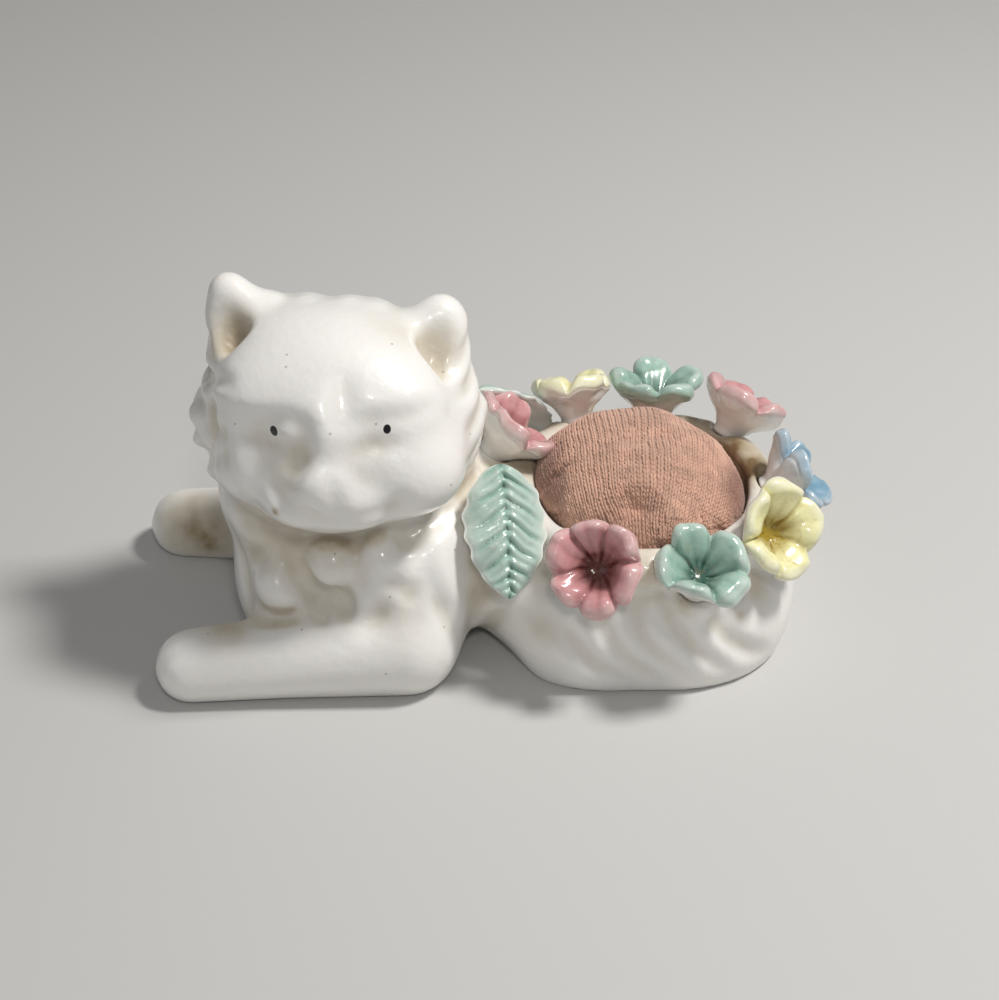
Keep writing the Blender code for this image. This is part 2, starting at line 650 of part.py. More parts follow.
def make_body(finish):
    body = add_object("cat_body", sculpt_body(), finish)
    thin = body.modifiers.new("fewer faces", "DECIMATE")
    thin.ratio = CLAY_FACES / (2 * len(body.data.polygons))
    reach = 2 * PAW_REACH
    below = block("below the floor", (-reach, -reach, -reach), (reach, reach, 0))
    floor = add_object("below the floor", below, finish)
    cut_away(body, floor)
    vent_place = Matrix.Translation((-VENT_REACH, 0, -1 * MM))
    vent = add_object("vent", rod("vent", VENT_RADIUS, WALL + 4 * MM, 24, vent_place), finish)
    cut_away(body, vent)
    for name, (_, bearing, out, rise, lean, mouth, length, spin, _) in FLOWERS.items():
        frame = flower_frame(bearing, out, rise, lean, spin)
        cut_seat(body, name, frame, flower_outline(mouth * FLOWER_MOUTH, length * FLOWER_LENGTH), finish)
    for name, placing in LEAVES.items():
        stalk = [(0.0, FOOT_RADIUS), (LEAF_STALK, FOOT_RADIUS)]
        cut_seat(body, name, leaf_seat(leaf_frame(*placing)), stalk, finish)
    return body


def cut_seat(body, name, frame, outline, finish):
    """Sinks a round seat for the foot of a flower or a leaf, open as wide as what stands in it."""
    sides = 24
    top = (outline[-1][0] + SEAT_OPENING, outline[-1][1])
    rings = [(-FOOT_CLEARANCE, outline[0][1])] + outline[1:] + [top]
    form = bmesh.new()
    loops = [
        [
            form.verts.new(frame @ Vector((reach * math.cos(turn), reach * math.sin(turn), height)))
            for turn in (2 * math.pi * side / sides for side in range(sides))
        ]
        for height, reach in ((height, radius + FOOT_CLEARANCE) for height, radius in rings)
    ]
    form.faces.new(reversed(loops[0]))
    for lower, upper in zip(loops, loops[1:]):
        band(form, lower, upper)
    form.faces.new(loops[-1])
    mesh = bpy.data.meshes.new(f"seat of {name}")
    form.to_mesh(mesh)
    form.free()
    cut_away(body, add_object(f"seat of {name}", mesh, finish))


def flower_outline(mouth, length):
    """Heights and radii up the outside of a flower."""
    flare = mouth - FOOT_RADIUS
    return [
        (0.0, FOOT_RADIUS),
        (0.34 * length, FOOT_RADIUS),
        (0.60 * length, FOOT_RADIUS + 0.26 * flare),
        (0.84 * length, FOOT_RADIUS + 0.70 * flare),
        (0.97 * length, mouth),
    ]


def make_pad(finish):
    """The stuffed pincushion, a little flat at its underside."""
    rows = 7
    sides = 36
    form = bmesh.new()
    bottom = form.verts.new((0, 0, PAD_MIDDLE - PAD_DEPTH))
    top = form.verts.new((0, 0, PAD_MIDDLE + PAD_CROWN))
    loops = []
    for row in range(1, 2 * rows):
        angle = math.pi * (row / (2 * rows) - 0.5)
        height = math.sin(angle) * (PAD_CROWN if angle > 0 else PAD_DEPTH)
        reach = PAD_RADIUS * math.cos(angle)
        loop = []
        for side in range(sides):
            turn = 2 * math.pi * side / sides
            place = (reach * math.cos(turn), reach * math.sin(turn), PAD_MIDDLE + height)
            loop.append(form.verts.new(place))
        loops.append(loop)
    fan(form, loops[0], bottom, True)
    for lower, upper in zip(loops, loops[1:]):
        band(form, lower, upper)
    fan(form, loops[-1], top, False)
    mesh = bpy.data.meshes.new("pincushion_pad")
    form.to_mesh(mesh)
    form.free()
    return add_object("pincushion_pad", mesh, finish)


def band(form, lower, upper):
    """Faces between two loops of the same count, turning the same way."""
    count = len(lower)
    for i in range(count):
        j = (i + 1) % count
        form.faces.new((lower[i], lower[j], upper[j], upper[i]))


def fan(form, loop, pole, below):
    """Closes a loop to a single point."""
    count = len(loop)
    for i in range(count):
        j = (i + 1) % count
        form.faces.new((loop[j], loop[i], pole) if below else (loop[i], loop[j], pole))


def make_flower(name, placing, finish):
    """A pinched trumpet of five petals on a short round foot."""
    _, bearing, out, rise, lean, mouth, length, spin, shares = placing
    mouth = mouth * FLOWER_MOUTH
    length = length * FLOWER_LENGTH
    # Height up the flower, radius, and how far the petals shape the loop.
    effects = (0, 0, 0.35, 0.8, 1)
    outside = [(*place, effect) for place, effect in zip(flower_outline(mouth, length), effects)]
    inside = [
        (0.97 * length + PETAL_WALL, 0.95 * mouth, 1.0),
        (0.84 * length + PETAL_WALL * 1.05, FOOT_RADIUS + 0.48 * (mouth - FOOT_RADIUS), 0.8),
        (0.68 * length + PETAL_WALL, FOOT_RADIUS + 0.08 * (mouth - FOOT_RADIUS), 0.3),
        (0.52 * length + PETAL_WALL, 0.5 * FOOT_RADIUS, 0.0),
    ]
    sides = 5 * PETAL_STEPS
    form = bmesh.new()
    bottom = form.verts.new((0, 0, 0))
    throat = form.verts.new((0, 0, inside[-1][0] - 0.2 * MM))
    loops = []
    for height, radius, effect in outside + inside:
        loop = []
        for side in range(sides):
            turn = 2 * math.pi * side / sides
            petal = shares[side // PETAL_STEPS]
            lobe = abs(math.sin(math.pi * side / PETAL_STEPS)) ** 0.6
            reach = radius * (1 - effect * (PETAL_NOTCH * (1 - lobe) + (1 - petal) * lobe))
            dip = effect * 0.10 * length * (1 - lobe)
            loop.append(form.verts.new((reach * math.cos(turn), reach * math.sin(turn), height - dip)))
        loops.append(loop)
    fan(form, loops[0], bottom, True)
    for lower, upper in zip(loops, loops[1:]):
        band(form, lower, upper)
    fan(form, loops[-1], throat, False)
    mesh = bpy.data.meshes.new(name)
    form.to_mesh(mesh)
    form.free()
    mesh.transform(flower_frame(bearing, out, rise, lean, spin))
    return add_object(name, mesh, finish)


def make_leaf(name, placing, finish):
    """A curved, serrated blade with a stalk under it."""
    lengthways = 12
    across = 4
    form = bmesh.new()
    faces = []
    for side in (-1, 1):
        rows = []
        for i in range(lengthways + 1):
            share = i / lengthways
            width = LEAF_WIDTH / 2 * math.sin(math.pi * min(0.06 + 0.94 * share, 0.985) ** 0.82) ** 0.75
            width *= 1 + LEAF_TEETH * (-1) ** i
            row = []
            for j in range(across + 1):
                out = 2 * j / across - 1
                sag = leaf_sag(2 * share - 1, out * width / (LEAF_WIDTH / 2))
                place = ((share - 0.5) * LEAF_LENGTH, out * width, sag + side * LEAF_WALL / 2)
                row.append(form.verts.new(place))
            rows.append(row)
        faces.append(rows)
    under, over = faces
    for i in range(lengthways):
        for j in range(across):
            form.faces.new((over[i][j], over[i + 1][j], over[i + 1][j + 1], over[i][j + 1]))
            form.faces.new((under[i][j], under[i][j + 1], under[i + 1][j + 1], under[i + 1][j]))
    edge = [(i, 0) for i in range(lengthways + 1)] + [(lengthways, j) for j in range(1, across + 1)]
    edge += [(i, across) for i in range(lengthways - 1, -1, -1)] + [(0, j) for j in range(across - 1, 0, -1)]
    for (i, j), (k, m) in zip(edge, edge[1:] + edge[:1]):
        form.faces.new((under[i][j], under[k][m], over[k][m], over[i][j]))
    bmesh.ops.recalc_face_normals(form, faces=form.faces)
    mesh = bpy.data.meshes.new(name)
    form.to_mesh(mesh)
    form.free()
    frame = leaf_frame(*placing)
    mesh.transform(frame)
    leaf = add_object(name, mesh, finish)
    stalk = rod(f"stalk of {name}", FOOT_RADIUS, LEAF_STALK + 0.5 * LEAF_WALL, 20, leaf_seat(frame))
    helper = add_object(f"stalk of {name}", stalk, finish)
    helper.hide_render = True
    helper.display_type = "WIRE"
    join = leaf.modifiers.new("with its stalk", "BOOLEAN")
    join.operation = "UNION"
    join.solver = "EXACT"
    join.object = helper
    return leaf


for old in list(bpy.data.objects):
    bpy.data.objects.remove(old, do_unlink=True)

make_body(material("glazed_white", SOFT_WHITE, 0.18))
make_pad(material("knitted_cover", DUSKY, 0.95))
for title, row in FLOWERS.items():
    make_flower(title, row, material(f"{title}_glaze", row[0], 0.2))
for title, row in LEAVES.items():
    make_leaf(title, row, material(f"{title}_glaze", SAGE, 0.2))
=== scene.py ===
"""The looks of a glazed porcelain cat that carries a knitted pincushion inside a wreath of flowers."""
import json
import math

import bmesh
import bpy
import numpy as np
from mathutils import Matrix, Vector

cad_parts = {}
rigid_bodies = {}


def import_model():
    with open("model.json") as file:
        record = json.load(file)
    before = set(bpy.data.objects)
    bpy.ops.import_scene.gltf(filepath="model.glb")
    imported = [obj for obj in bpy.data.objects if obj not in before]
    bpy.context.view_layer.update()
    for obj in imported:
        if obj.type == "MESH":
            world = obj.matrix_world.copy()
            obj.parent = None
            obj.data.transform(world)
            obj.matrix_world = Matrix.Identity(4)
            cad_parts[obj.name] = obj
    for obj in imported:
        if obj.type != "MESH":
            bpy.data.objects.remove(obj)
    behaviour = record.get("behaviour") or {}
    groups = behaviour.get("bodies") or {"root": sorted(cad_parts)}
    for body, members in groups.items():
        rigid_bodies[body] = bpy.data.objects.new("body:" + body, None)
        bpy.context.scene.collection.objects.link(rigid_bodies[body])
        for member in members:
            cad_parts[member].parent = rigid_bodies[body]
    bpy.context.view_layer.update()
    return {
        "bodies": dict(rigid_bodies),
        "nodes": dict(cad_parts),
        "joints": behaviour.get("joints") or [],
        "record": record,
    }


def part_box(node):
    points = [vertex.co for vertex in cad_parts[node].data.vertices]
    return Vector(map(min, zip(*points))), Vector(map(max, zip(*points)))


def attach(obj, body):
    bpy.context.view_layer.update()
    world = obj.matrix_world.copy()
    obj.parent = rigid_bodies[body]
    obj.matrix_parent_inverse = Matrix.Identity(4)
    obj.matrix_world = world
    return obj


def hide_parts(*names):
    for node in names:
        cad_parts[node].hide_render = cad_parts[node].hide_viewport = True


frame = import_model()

import openvdb
from mathutils import Matrix, Vector, noise
from mathutils.bvhtree import BVHTree

MM = 0.001

# The photograph's frame, and the camera that sees the cat as it does
PHOTO_WIDTH = 999
PHOTO_HEIGHT = 1000
CAMERA_AIM = Vector((-22.3, -4.0, 22.6)) * MM
CAMERA_DISTANCE = 0.330
CAMERA_ELEVATION = math.radians(35)
CAMERA_LENS = 76.46
CAMERA_SENSOR = 36.0
LENS_IN_PIXELS = CAMERA_LENS / CAMERA_SENSOR * max(PHOTO_WIDTH, PHOTO_HEIGHT)

# Pincushion and the bowl's lip, taken from the frame
PAD_LOW, PAD_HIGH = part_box("pincushion_pad")
PAD_RADIUS = (PAD_HIGH.x - PAD_LOW.x) / 2
PAD_DEPTH = 8.5 * MM
PAD_MIDDLE = PAD_LOW.z + PAD_DEPTH
PAD_CROWN = PAD_HIGH.z - PAD_MIDDLE
PAD_CLEARANCE = 0.5 * MM
LIP_RADIUS = PAD_RADIUS + PAD_CLEARANCE + 1.6 * MM
LIP_THICKNESS = 2.6 * MM
LIP_MIDDLE = PAD_MIDDLE - 0.6 * MM

# The cat's masses, as the solid has them
HAUNCH_RADIUS = LIP_RADIUS + 6.6 * MM
HAUNCH_HALF_LENGTH = LIP_RADIUS + 6.8 * MM
HAUNCH_HALF_HEIGHT = 15.5 * MM
HAUNCH_MIDDLE = 7.0 * MM
TAIL_RADIUS = 4.2 * MM
WAIST_REACH = 24.3 * MM
WAIST_HALF_WIDTH = 11.6 * MM
CHEST_REACH = 46.5 * MM
CHEST_HALF_LENGTH = 17.5 * MM
CHEST_HALF_WIDTH = 18.0 * MM
CHEST_MIDDLE = 17.0 * MM
CHEST_HALF_HEIGHT = 23.0 * MM
PAW_REACH = 69.4 * MM
PAW_RADIUS = 5.7 * MM
PAW_SPREAD = 22.4 * MM
ELBOW_REACH = 36.8 * MM
ELBOW_RADIUS = 8.4 * MM
ELBOW_SPREAD = 18.6 * MM
# Each foreleg: side, how far ahead its paw lies, and how far out
FORELEGS = ((-1, PAW_REACH, PAW_SPREAD), (1, 1.08 * PAW_REACH, 0.68 * PAW_SPREAD))
HEAD_CENTRE = Vector((-46.8, -4.0, 38.9)) * MM
HEAD_HALF_WIDTH = 20.6 * MM
HEAD_HALF_DEPTH = 17.4 * MM
HEAD_HALF_HEIGHT = 17.2 * MM
HEAD_TURN = math.radians(5.0)
VENT_RADIUS = 3.2 * MM
VENT_REACH = 12.0 * MM
VENT_SHOWN = 6.0 * MM

# Flowers and leaves
FLOWER_MOUTH = 7.6 * MM
FLOWER_LENGTH = 6.6 * MM
FOOT_RADIUS = 2.5 * MM
FOOT_CLEARANCE = 0.36 * MM
COLLAR_WALL = 1.1 * MM
PETAL_WALL = 1.5 * MM
PETAL_WAVES = 5
LEAF_LENGTH = 20.6 * MM
LEAF_WIDTH = 12.8 * MM
LEAF_WALL = 1.4 * MM
LEAF_STALK = 3.0 * MM
LEAF_BEND = 1.0 * MM
LEAF_ARCH = 1.2 * MM
LEAF_VEINS = 6

CLAY_STEP = 0.51 * MM
FAR = 1.0

# The knitted cover: where its end is gathered, how far apart its loops are and how its stuffing fills it.
# Each swelling of the pad has its place, its spread and its height, all in mm.
PINCH = Vector((-2.0, -14.0, 27.1)) * MM
COLUMN_GAP = 0.9 * MM
ROW_GAP = 0.76 * MM
STUFFING_REACH = 0.5 * MM
STUFFING_PRESSURE = 4.0
CLOTH_SCALE = 10
CLOTH_FRAMES = 20
SWELLINGS = (((-12, 9, 25), 9, 1.5), ((14, 9, 24), 9, -0.9))

# Each flower: glaze, bearing from +X in degrees, distance out from the lip's middle line and height over
# it in mm, the way it faces (out from the bowl, along the lip, up), its mouth and its length as shares of
# the usual ones, and its spin in degrees.
FLOWERS = {
    "pink_front": ("rose", -111.5, 0.2, -1.2, (0.80, 0.06, 0.60), 0.98, 0.90, 20),
    "green_front": ("sage", -69.5, 2.3, -3.5, (0.38, -0.04, 0.92), 0.93, 0.84, 50),
    "yellow_right": ("lemon", -27.5, 0.8, -0.8, (0.76, -0.36, 0.54), 1.02, 0.92, 10),
    "blue_right": ("sky", -3.0, 1.0, 1.4, (0.80, 0.10, 0.55), 0.93, 0.90, 35),
    "pink_back": ("rose", 43.5, 1.2, 2.2, (0.60, -0.10, 0.79), 0.95, 0.98, 0),
    "green_back": ("sage", 81.0, 1.9, 0.6, (0.32, 0.03, 0.95), 0.96, 0.98, 25),
    "yellow_back": ("lemon", 120.0, 1.0, 2.6, (0.46, -0.13, 0.88), 0.87, 0.90, 60),
    "pink_left": ("rose", 168.0, 6.3, 4.2, (-0.66, -0.34, 0.67), 0.96, 0.96, 15),
}

# Each flower's petals: how deep the notches between them are, in shares of the mouth, how much of the
# colour is on the outside, and for each petal how far it reaches, in shares of the mouth, and how far its
# tip lifts, in mm.
PETALS = {
    "pink_front": (
        0.13, 0.16, ((1.0, 0.5), (0.95, -0.2), (1.0, 0.5), (0.96, -0.1), (1.03, -0.5), (0.98, 0.0)),
    ),
    "green_front": (0.15, 0.10, ((0.98, 0.6), (0.96, 0.3), (0.86, 2.3), (1.04, -0.5), (0.98, 0.5))),
    "yellow_right": (0.12, 0.10, ((1.0, 0.2), (0.95, 0.9), (0.92, 1.2), (1.0, -0.4), (0.98, -0.1))),
    "blue_right": (0.40, 0.22, ((1.04, 0.2), (0.90, 1.5), (0.98, -0.4), (1.06, 0.4), (0.88, 0.6))),
    "pink_back": (0.14, 0.12, ((1.0, -0.5), (1.03, 0.3), (0.96, 1.0), (0.90, 0.2), (1.0, -0.2))),
    "green_back": (0.16, 0.50, ((0.97, -0.3), (1.0, -0.6), (1.0, 0.8), (0.98, 1.4), (1.02, 0.7))),
    "yellow_back": (
        0.08, 0.16, ((1.0, 0.5), (0.95, -0.4), (1.0, 0.4), (1.0, -0.3), (0.97, 0.4), (1.0, 0.0)),
    ),
    "pink_left": (0.14, 0.12, ((0.94, 1.1), (1.0, -0.2), (0.92, 1.4), (1.02, -0.6), (1.0, 0.3))),
}

# Each leaf: bearing of the middle of its blade, distance out and height over the lip's middle line,
# the way its tip points and the way its face looks.
LEAVES = {
    "near": (-144.0, 7.8, 4.5, (0.07, -0.73, -0.68), (0.20, -0.68, 0.70)),
    "far": (139.8, 8.6, 5.4, (0.54, 0.44, -0.72), (-0.04, 0.86, 0.50)),
}

# Beads of slip along the lip between the flowers: bearing in degrees, distance out, height and radius in mm
SLIP = (
    (14, -0.2, 1.0, 3.1), (22, 0.0, 1.4, 3.3), (31, -0.2, 1.6, 3.1), (56, 0.0, 1.2, 2.9), (66, 0.4, 0.8, 2.9),
    (96, 0.2, 0.8, 2.8), (106, 0.2, 1.2, 3.0), (134, 0.2, 1.4, 3.2), (146, 0.6, 1.0, 3.0),
    (-14, 0.3, 0.4, 2.9), (-42, 0.2, -0.2, 2.9), (-54, 0.3, -0.6, 2.8), (-84, 0.1, -0.4, 2.8),
    (-93, 0.4, -0.6, 2.9), (-128, 0.2, 0.2, 2.9),
)

# Lumps and creases in the clay: half width and height in mm (a crease is lower than nothing), and the
# places they run by, in shares of the head's, the chest's or the haunch's half sizes.
HEAD_MARKS = (
    (3.0, -1.7, ((-0.77, 0.50, -0.70), (-0.59, 0.62, -0.78), (-0.32, 0.72, -0.82), (-0.02, 0.76, -0.84),
                 (0.32, 0.72, -0.79), (0.62, 0.62, -0.68), (0.88, 0.45, -0.60), (1.03, 0.30, -0.50))),
    (1.5, -1.2, ((-0.80, 0.50, 0.33), (-0.85, 0.50, 0.14), (-0.86, 0.50, -0.01), (-0.83, 0.50, -0.25),
                 (-0.76, 0.60, -0.40), (-0.64, 0.70, -0.49), (-0.50, 0.70, -0.58))),
    (2.4, 0.8, ((-0.88, 0.22, 0.57), (-1.00, 0.06, 0.59))),
    (2.4, 0.9, ((-0.92, 0.20, 0.27), (-1.04, 0.04, 0.30))),
    (2.4, 0.9, ((-0.94, 0.20, -0.02), (-1.05, 0.04, 0.00))),
    (2.4, 0.9, ((-0.93, 0.20, -0.28), (-1.03, 0.04, -0.28))),
    (2.4, 0.8, ((-0.89, 0.22, -0.54), (-0.98, 0.06, -0.56))),
)
CHEST_MARKS = (
    (2.2, -0.9, ((-0.78, -1.1, -0.20), (-0.61, -1.1, -0.28), (-0.35, -1.1, -0.36), (-0.09, -1.1, -0.40),
                 (0.19, -1.1, -0.36), (0.35, -1.1, -0.23), (0.41, -1.1, -0.10))),
    (4.2, 2.4, ((-0.68, -1.06, 0.02), (-0.52, -1.06, -0.05))),
    (3.8, 2.2, ((-0.16, -1.06, 0.26), (0.02, -1.06, 0.17))),
    (3.0, 1.9, ((0.34, -0.97, 0.36), (0.43, -0.97, 0.06))),
)
HAUNCH_MARKS = (
    (2.4, -0.8, ((-0.47, -0.84, 0.25), (-0.37, -0.92, 0.05), (-0.24, -0.97, -0.14), (-0.04, -0.99, -0.31))),
    (2.4, -0.9, ((-0.29, -0.86, 0.40), (-0.21, -0.95, 0.21), (-0.08, -1.00, -0.06), (0.13, -0.99, -0.28))),
    (2.2, -0.8, ((-0.09, -0.86, 0.52), (-0.02, -0.96, 0.24), (0.10, -0.99, 0.03), (0.29, -0.96, -0.23))),
    (2.0, -0.7, ((0.13, -0.86, 0.50), (0.20, -0.94, 0.29), (0.32, -0.95, 0.06), (0.48, -0.87, -0.20))),
    (1.8, -0.6, ((0.35, -0.80, 0.35), (0.45, -0.82, 0.15), (0.57, -0.78, -0.04), (0.70, -0.70, -0.20))),
)

# How strongly hollows in the clay are darkened: partly grime, partly painted shade
HOLLOW_GRIME_AND_SHADE = 0.17

# How much stronger the folds are on the glazed cat than on the plain solid
HEAD_RELIEF = 1.3
CHEST_RELIEF = 1.35
HAUNCH_RELIEF = 2.0

# Where each eye is painted, in pixels of the photograph, with its half width and half height in mm
EYES = (((274, 431), 0.58, 0.78), ((387, 429), 0.55, 0.66))

# Iron specks in the glaze, in pixels of the photograph
SPECKS = (
    (287, 355), (286, 367), (392, 344), (443, 372), (470, 434), (479, 443), (451, 485), (235, 424),
    (376, 424), (330, 434), (335, 554), (390, 597), (302, 630),
    (444, 627), (208, 634), (386, 674), (454, 550),
)

# Creases and ridges in the clay: how wide and how high, in mm (a crease is lower than nothing),
# and the pixels of the photograph that it runs through.
LINES = (
    ("left eyelid", 1.8, -0.6, ((236, 413), (252, 419), (274, 420), (294, 421), (306, 428))),
    ("right eyelid", 1.6, -0.55, ((356, 424), (370, 420), (392, 418), (414, 414), (436, 405))),
    ("frown", 3.2, -0.5, ((342, 384), (342, 398), (341, 412), (338, 424))),
    ("left of nose", 2.6, -1.3, ((302, 432), (301, 450), (292, 472), (284, 490))),
    ("mouth", 1.3, -1.0, ((272, 490), (284, 504), (300, 514), (318, 520), (336, 522))),
    ("mouth, right", 1.2, -0.6, ((345, 521), (366, 518), (388, 510), (404, 499))),
    ("lip", 1.2, -0.35, ((332, 486), (334, 498), (337, 512))),
    ("cheek edge, outer", 1.4, -0.8, ((223, 424), (221, 448), (225, 472), (236, 494))),
    ("first tuft", 1.3, -0.8, ((228, 384), (214, 380), (203, 377))),
    ("second tuft", 1.3, -0.8, ((224, 410), (210, 406), (200, 403))),
    ("third tuft", 1.3, -0.8, ((222, 433), (210, 431), (200, 429))),
    ("fourth tuft", 1.3, -0.8, ((226, 458), (214, 456), (205, 454))),
    ("first lobe", 2.0, -0.7, ((250, 556), (268, 550), (288, 556), (300, 568), (312, 590), (310, 606))),
    ("second lobe", 1.8, -0.6, ((304, 566), (318, 590), (340, 596), (360, 588), (367, 568))),
    ("third lobe", 1.7, -0.9, ((364, 560), (376, 577), (392, 585), (412, 594))),
    ("third lobe, side", 2.2, -0.6, ((404, 536), (417, 558), (419, 580), (412, 594))),
    ("small curl", 1.3, -0.6, ((347, 598), (348, 610), (344, 622))),
    ("smaller curl", 1.2, -0.5, ((322, 600), (322, 612), (326, 624))),
    ("shoulder sweep", 2.4, -0.5, ((418, 540), (432, 566), (438, 596), (448, 620), (452, 646))),
    ("back sweep", 2.0, 0.5, ((436, 566), (450, 596), (462, 620))),
    ("side of chest", 1.4, -0.8, ((232, 530), (241, 556), (246, 584), (250, 606))),
    ("mould seam", 0.8, 0.55, ((468, 638), (479, 624), (490, 610), (503, 597))),
    ("beside the seam", 1.0, -0.6, ((474, 640), (486, 626), (498, 611))),
)

# Soft lumps on the clay: how wide and how high, in mm, and the pixels they run through
LUMPS = (
    ("curl", 2.0, 1.2, ((361, 590), (363, 610), (350, 624))),
    ("small curl", 1.6, 1.0, ((334, 602), (335, 620))),
    ("smaller curl", 1.6, 1.0, ((309, 604), (312, 620))),
)

# Grime and stains on the body, and painted shadows and shade: under the chin, beside the nose, on the far
# foreleg, and under the flowers and the leaf. Each: pixel, how far it spreads in mm, and strength
STAINS_AND_SHADOWS = (
    ((237, 330), 3.2, 0.55), ((443, 346), 3.0, 0.25), ((297, 452), 2.6, 0.18), ((289, 478), 2.6, 0.16),
    ((226, 350), 3.0, 0.25), ((216, 420), 2.5, 0.30), ((395, 330), 4.0, 0.14), ((275, 512), 0.5, 0.9),
    ((260, 534), 5.0, 0.22), ((300, 540), 5.0, 0.24), ((336, 544), 4.5, 0.18), ((228, 628), 3.4, 0.45),
    ((205, 530), 5.0, 0.55), ((186, 524), 5.0, 0.30), ((212, 545), 2.0, 0.5), ((400, 616), 4.0, 0.10),
    ((541, 630), 3.0, 0.22), ((481, 590), 2.6, 0.35), ((474, 560), 2.0, 0.25), ((648, 578), 2.8, 0.32),
    ((683, 606), 1.8, 0.40), ((756, 588), 2.2, 0.30), ((739, 616), 0.9, 0.4), ((735, 440), 4.0, 0.75),
    ((712, 424), 3.0, 0.70), ((748, 470), 4.0, 0.70), ((545, 410), 3.0, 0.55), ((690, 416), 2.5, 0.5),
    ((762, 474), 3.0, 0.6), ((610, 402), 3.0, 0.4), ((560, 560), 3.0, 0.3), ((642, 552), 3.0, 0.25),
    ((620, 400), 3.0, 0.4), ((655, 398), 3.0, 0.4), ((530, 470), 3.0, 0.5), ((500, 470), 2.5, 0.4),
)

# Stains on the pad, and painted shadows at its left and along its front edge: place and half sizes in mm, and
# strength
PAD_STAINS_AND_SHADOWS = (
    ((14.6, -4.5, 24.0), (4.0, 5.0, 4.0), 0.75),
    ((-13.5, -1.0, 25.5), (4.5, 6.0, 3.5), 0.6),
    ((-6.0, -15.0, 23.5), (9.0, 3.0, 3.0), 0.35),
    ((-2.0, -14.0, 27.1), (1.8, 1.4, 1.2), 0.35),
)

# Linear colours
PORCELAIN = (0.87, 0.855, 0.82)
# Colours of grime on the white glaze, also used for its painted shade and painted shadows
PALE_GRIME_AND_SHADE = (0.69, 0.635, 0.53)
DARK_GRIME_AND_SHADE = (0.36, 0.285, 0.18)
IRON = (0.06, 0.045, 0.04)
BURNT = (0.30, 0.17, 0.06)
GLAZES = {
    "rose": ((0.74, 0.54, 0.52), (0.60, 0.29, 0.30), (0.13, 0.03, 0.025)),
    "sage": ((0.60, 0.69, 0.63), (0.33, 0.50, 0.42), (0.05, 0.12, 0.09)),
    "lemon": ((0.86, 0.85, 0.66), (0.84, 0.81, 0.45), (0.34, 0.24, 0.03)),
    "sky": ((0.55, 0.63, 0.68), (0.21, 0.37, 0.49), (0.05, 0.13, 0.21)),
}
KNIT = (0.61, 0.365, 0.265)
# Colour of the stains on the pad and of its painted shadows
KNIT_STAIN_AND_SHADOW = (0.14, 0.045, 0.03)
FLOOR = (0.56, 0.555, 0.54)


# Shapes as distances, negative inside
class Form:
    """A shape as a distance with the box that holds it."""

    def __init__(self, distance, low, high):
        self.distance = distance
        self.low = Vector(low)
        self.high = Vector(high)


def egg(centre, radii, turn=None):
    """An ellipsoid with its axes along the world's, or along the columns of turn."""
    centre = Vector(centre)
    columns = np.eye(3) if turn is None else np.array(turn)
    sizes = np.array(radii)
    reach = Vector(np.sqrt((columns * sizes) ** 2 @ np.ones(3)))

    def distance(x, y, z):
        offset = (x - centre.x, y - centre.y, z - centre.z)
        near = 0
        steep = 0
        for axis in range(3):
            along = sum(offset[i] * columns[i, axis] for i in range(3)) / sizes[axis]
            near = near + along**2
            steep = steep + (along / sizes[axis]) ** 2
        near = np.sqrt(near)
        return near * (near - 1) / np.maximum(np.sqrt(steep), 1e-6)

    return Form(distance, centre - reach, centre + reach)


def limb(stations):
    """A rounded limb through stations, each a point with its radius."""
    points = [Vector(point) for point, _ in stations]
    widths = [radius for _, radius in stations]

    def distance(x, y, z):
        nearest = np.full(x.shape, FAR, np.float32)
        for start, end, near, far in zip(points, points[1:], widths, widths[1:]):
            run = end - start
            share = (x - start.x) * run.x + (y - start.y) * run.y + (z - start.z) * run.z
            share = np.clip(share / max(run.length_squared, 1e-12), 0, 1)
            gap = np.sqrt(
                (x - start.x - share * run.x) ** 2
                + (y - start.y - share * run.y) ** 2
                + (z - start.z - share * run.z) ** 2
            )
            nearest = np.minimum(nearest, gap - near - share * (far - near))
        return nearest

    widest = Vector((max(widths),) * 3)
    low = Vector([min(point[i] for point in points) for i in range(3)])
    high = Vector([max(point[i] for point in points) for i in range(3)])
    return Form(distance, low - widest, high + widest)


def ring(height, radius, thickness):
    """A round ring lying level about the bowl's axis."""

    def distance(x, y, z):
        return np.hypot(np.hypot(x, y) - radius, z - height) - thickness

    reach = Vector((radius + thickness, radius + thickness, thickness))
    middle = Vector((0, 0, height))
    return Form(distance, middle - reach, middle + reach)


def cushion(clearance):
    """The pincushion grown by clearance: domed above its middle, shallower below."""
    upper = egg((0, 0, PAD_MIDDLE), [size + clearance for size in (PAD_RADIUS, PAD_RADIUS, PAD_CROWN)])
    lower = egg((0, 0, PAD_MIDDLE), [size + clearance for size in (PAD_RADIUS, PAD_RADIUS, PAD_DEPTH)])

    def distance(x, y, z):
        return np.where(z > PAD_MIDDLE, upper.distance(x, y, z), lower.distance(x, y, z))

    return Form(distance, (*upper.low[:2], lower.low.z), upper.high)


def post(centre, radius, height):
    """An upright round bar that stands on centre."""
    centre = Vector(centre)

    def distance(x, y, z):
        round_way = np.hypot(x - centre.x, y - centre.y) - radius
        return np.maximum(round_way, np.abs(z - centre.z - height / 2) - height / 2)

    reach = Vector((radius, radius, 0))
    return Form(distance, centre - reach, centre + reach + Vector((0, 0, height)))


def soft_least(first, second, blend):
    """The lesser of two distances, rounded where they come within blend of each other."""
    share = np.maximum(blend - np.abs(first - second), 0) / blend
    return np.minimum(first, second) - share**2 * blend / 4


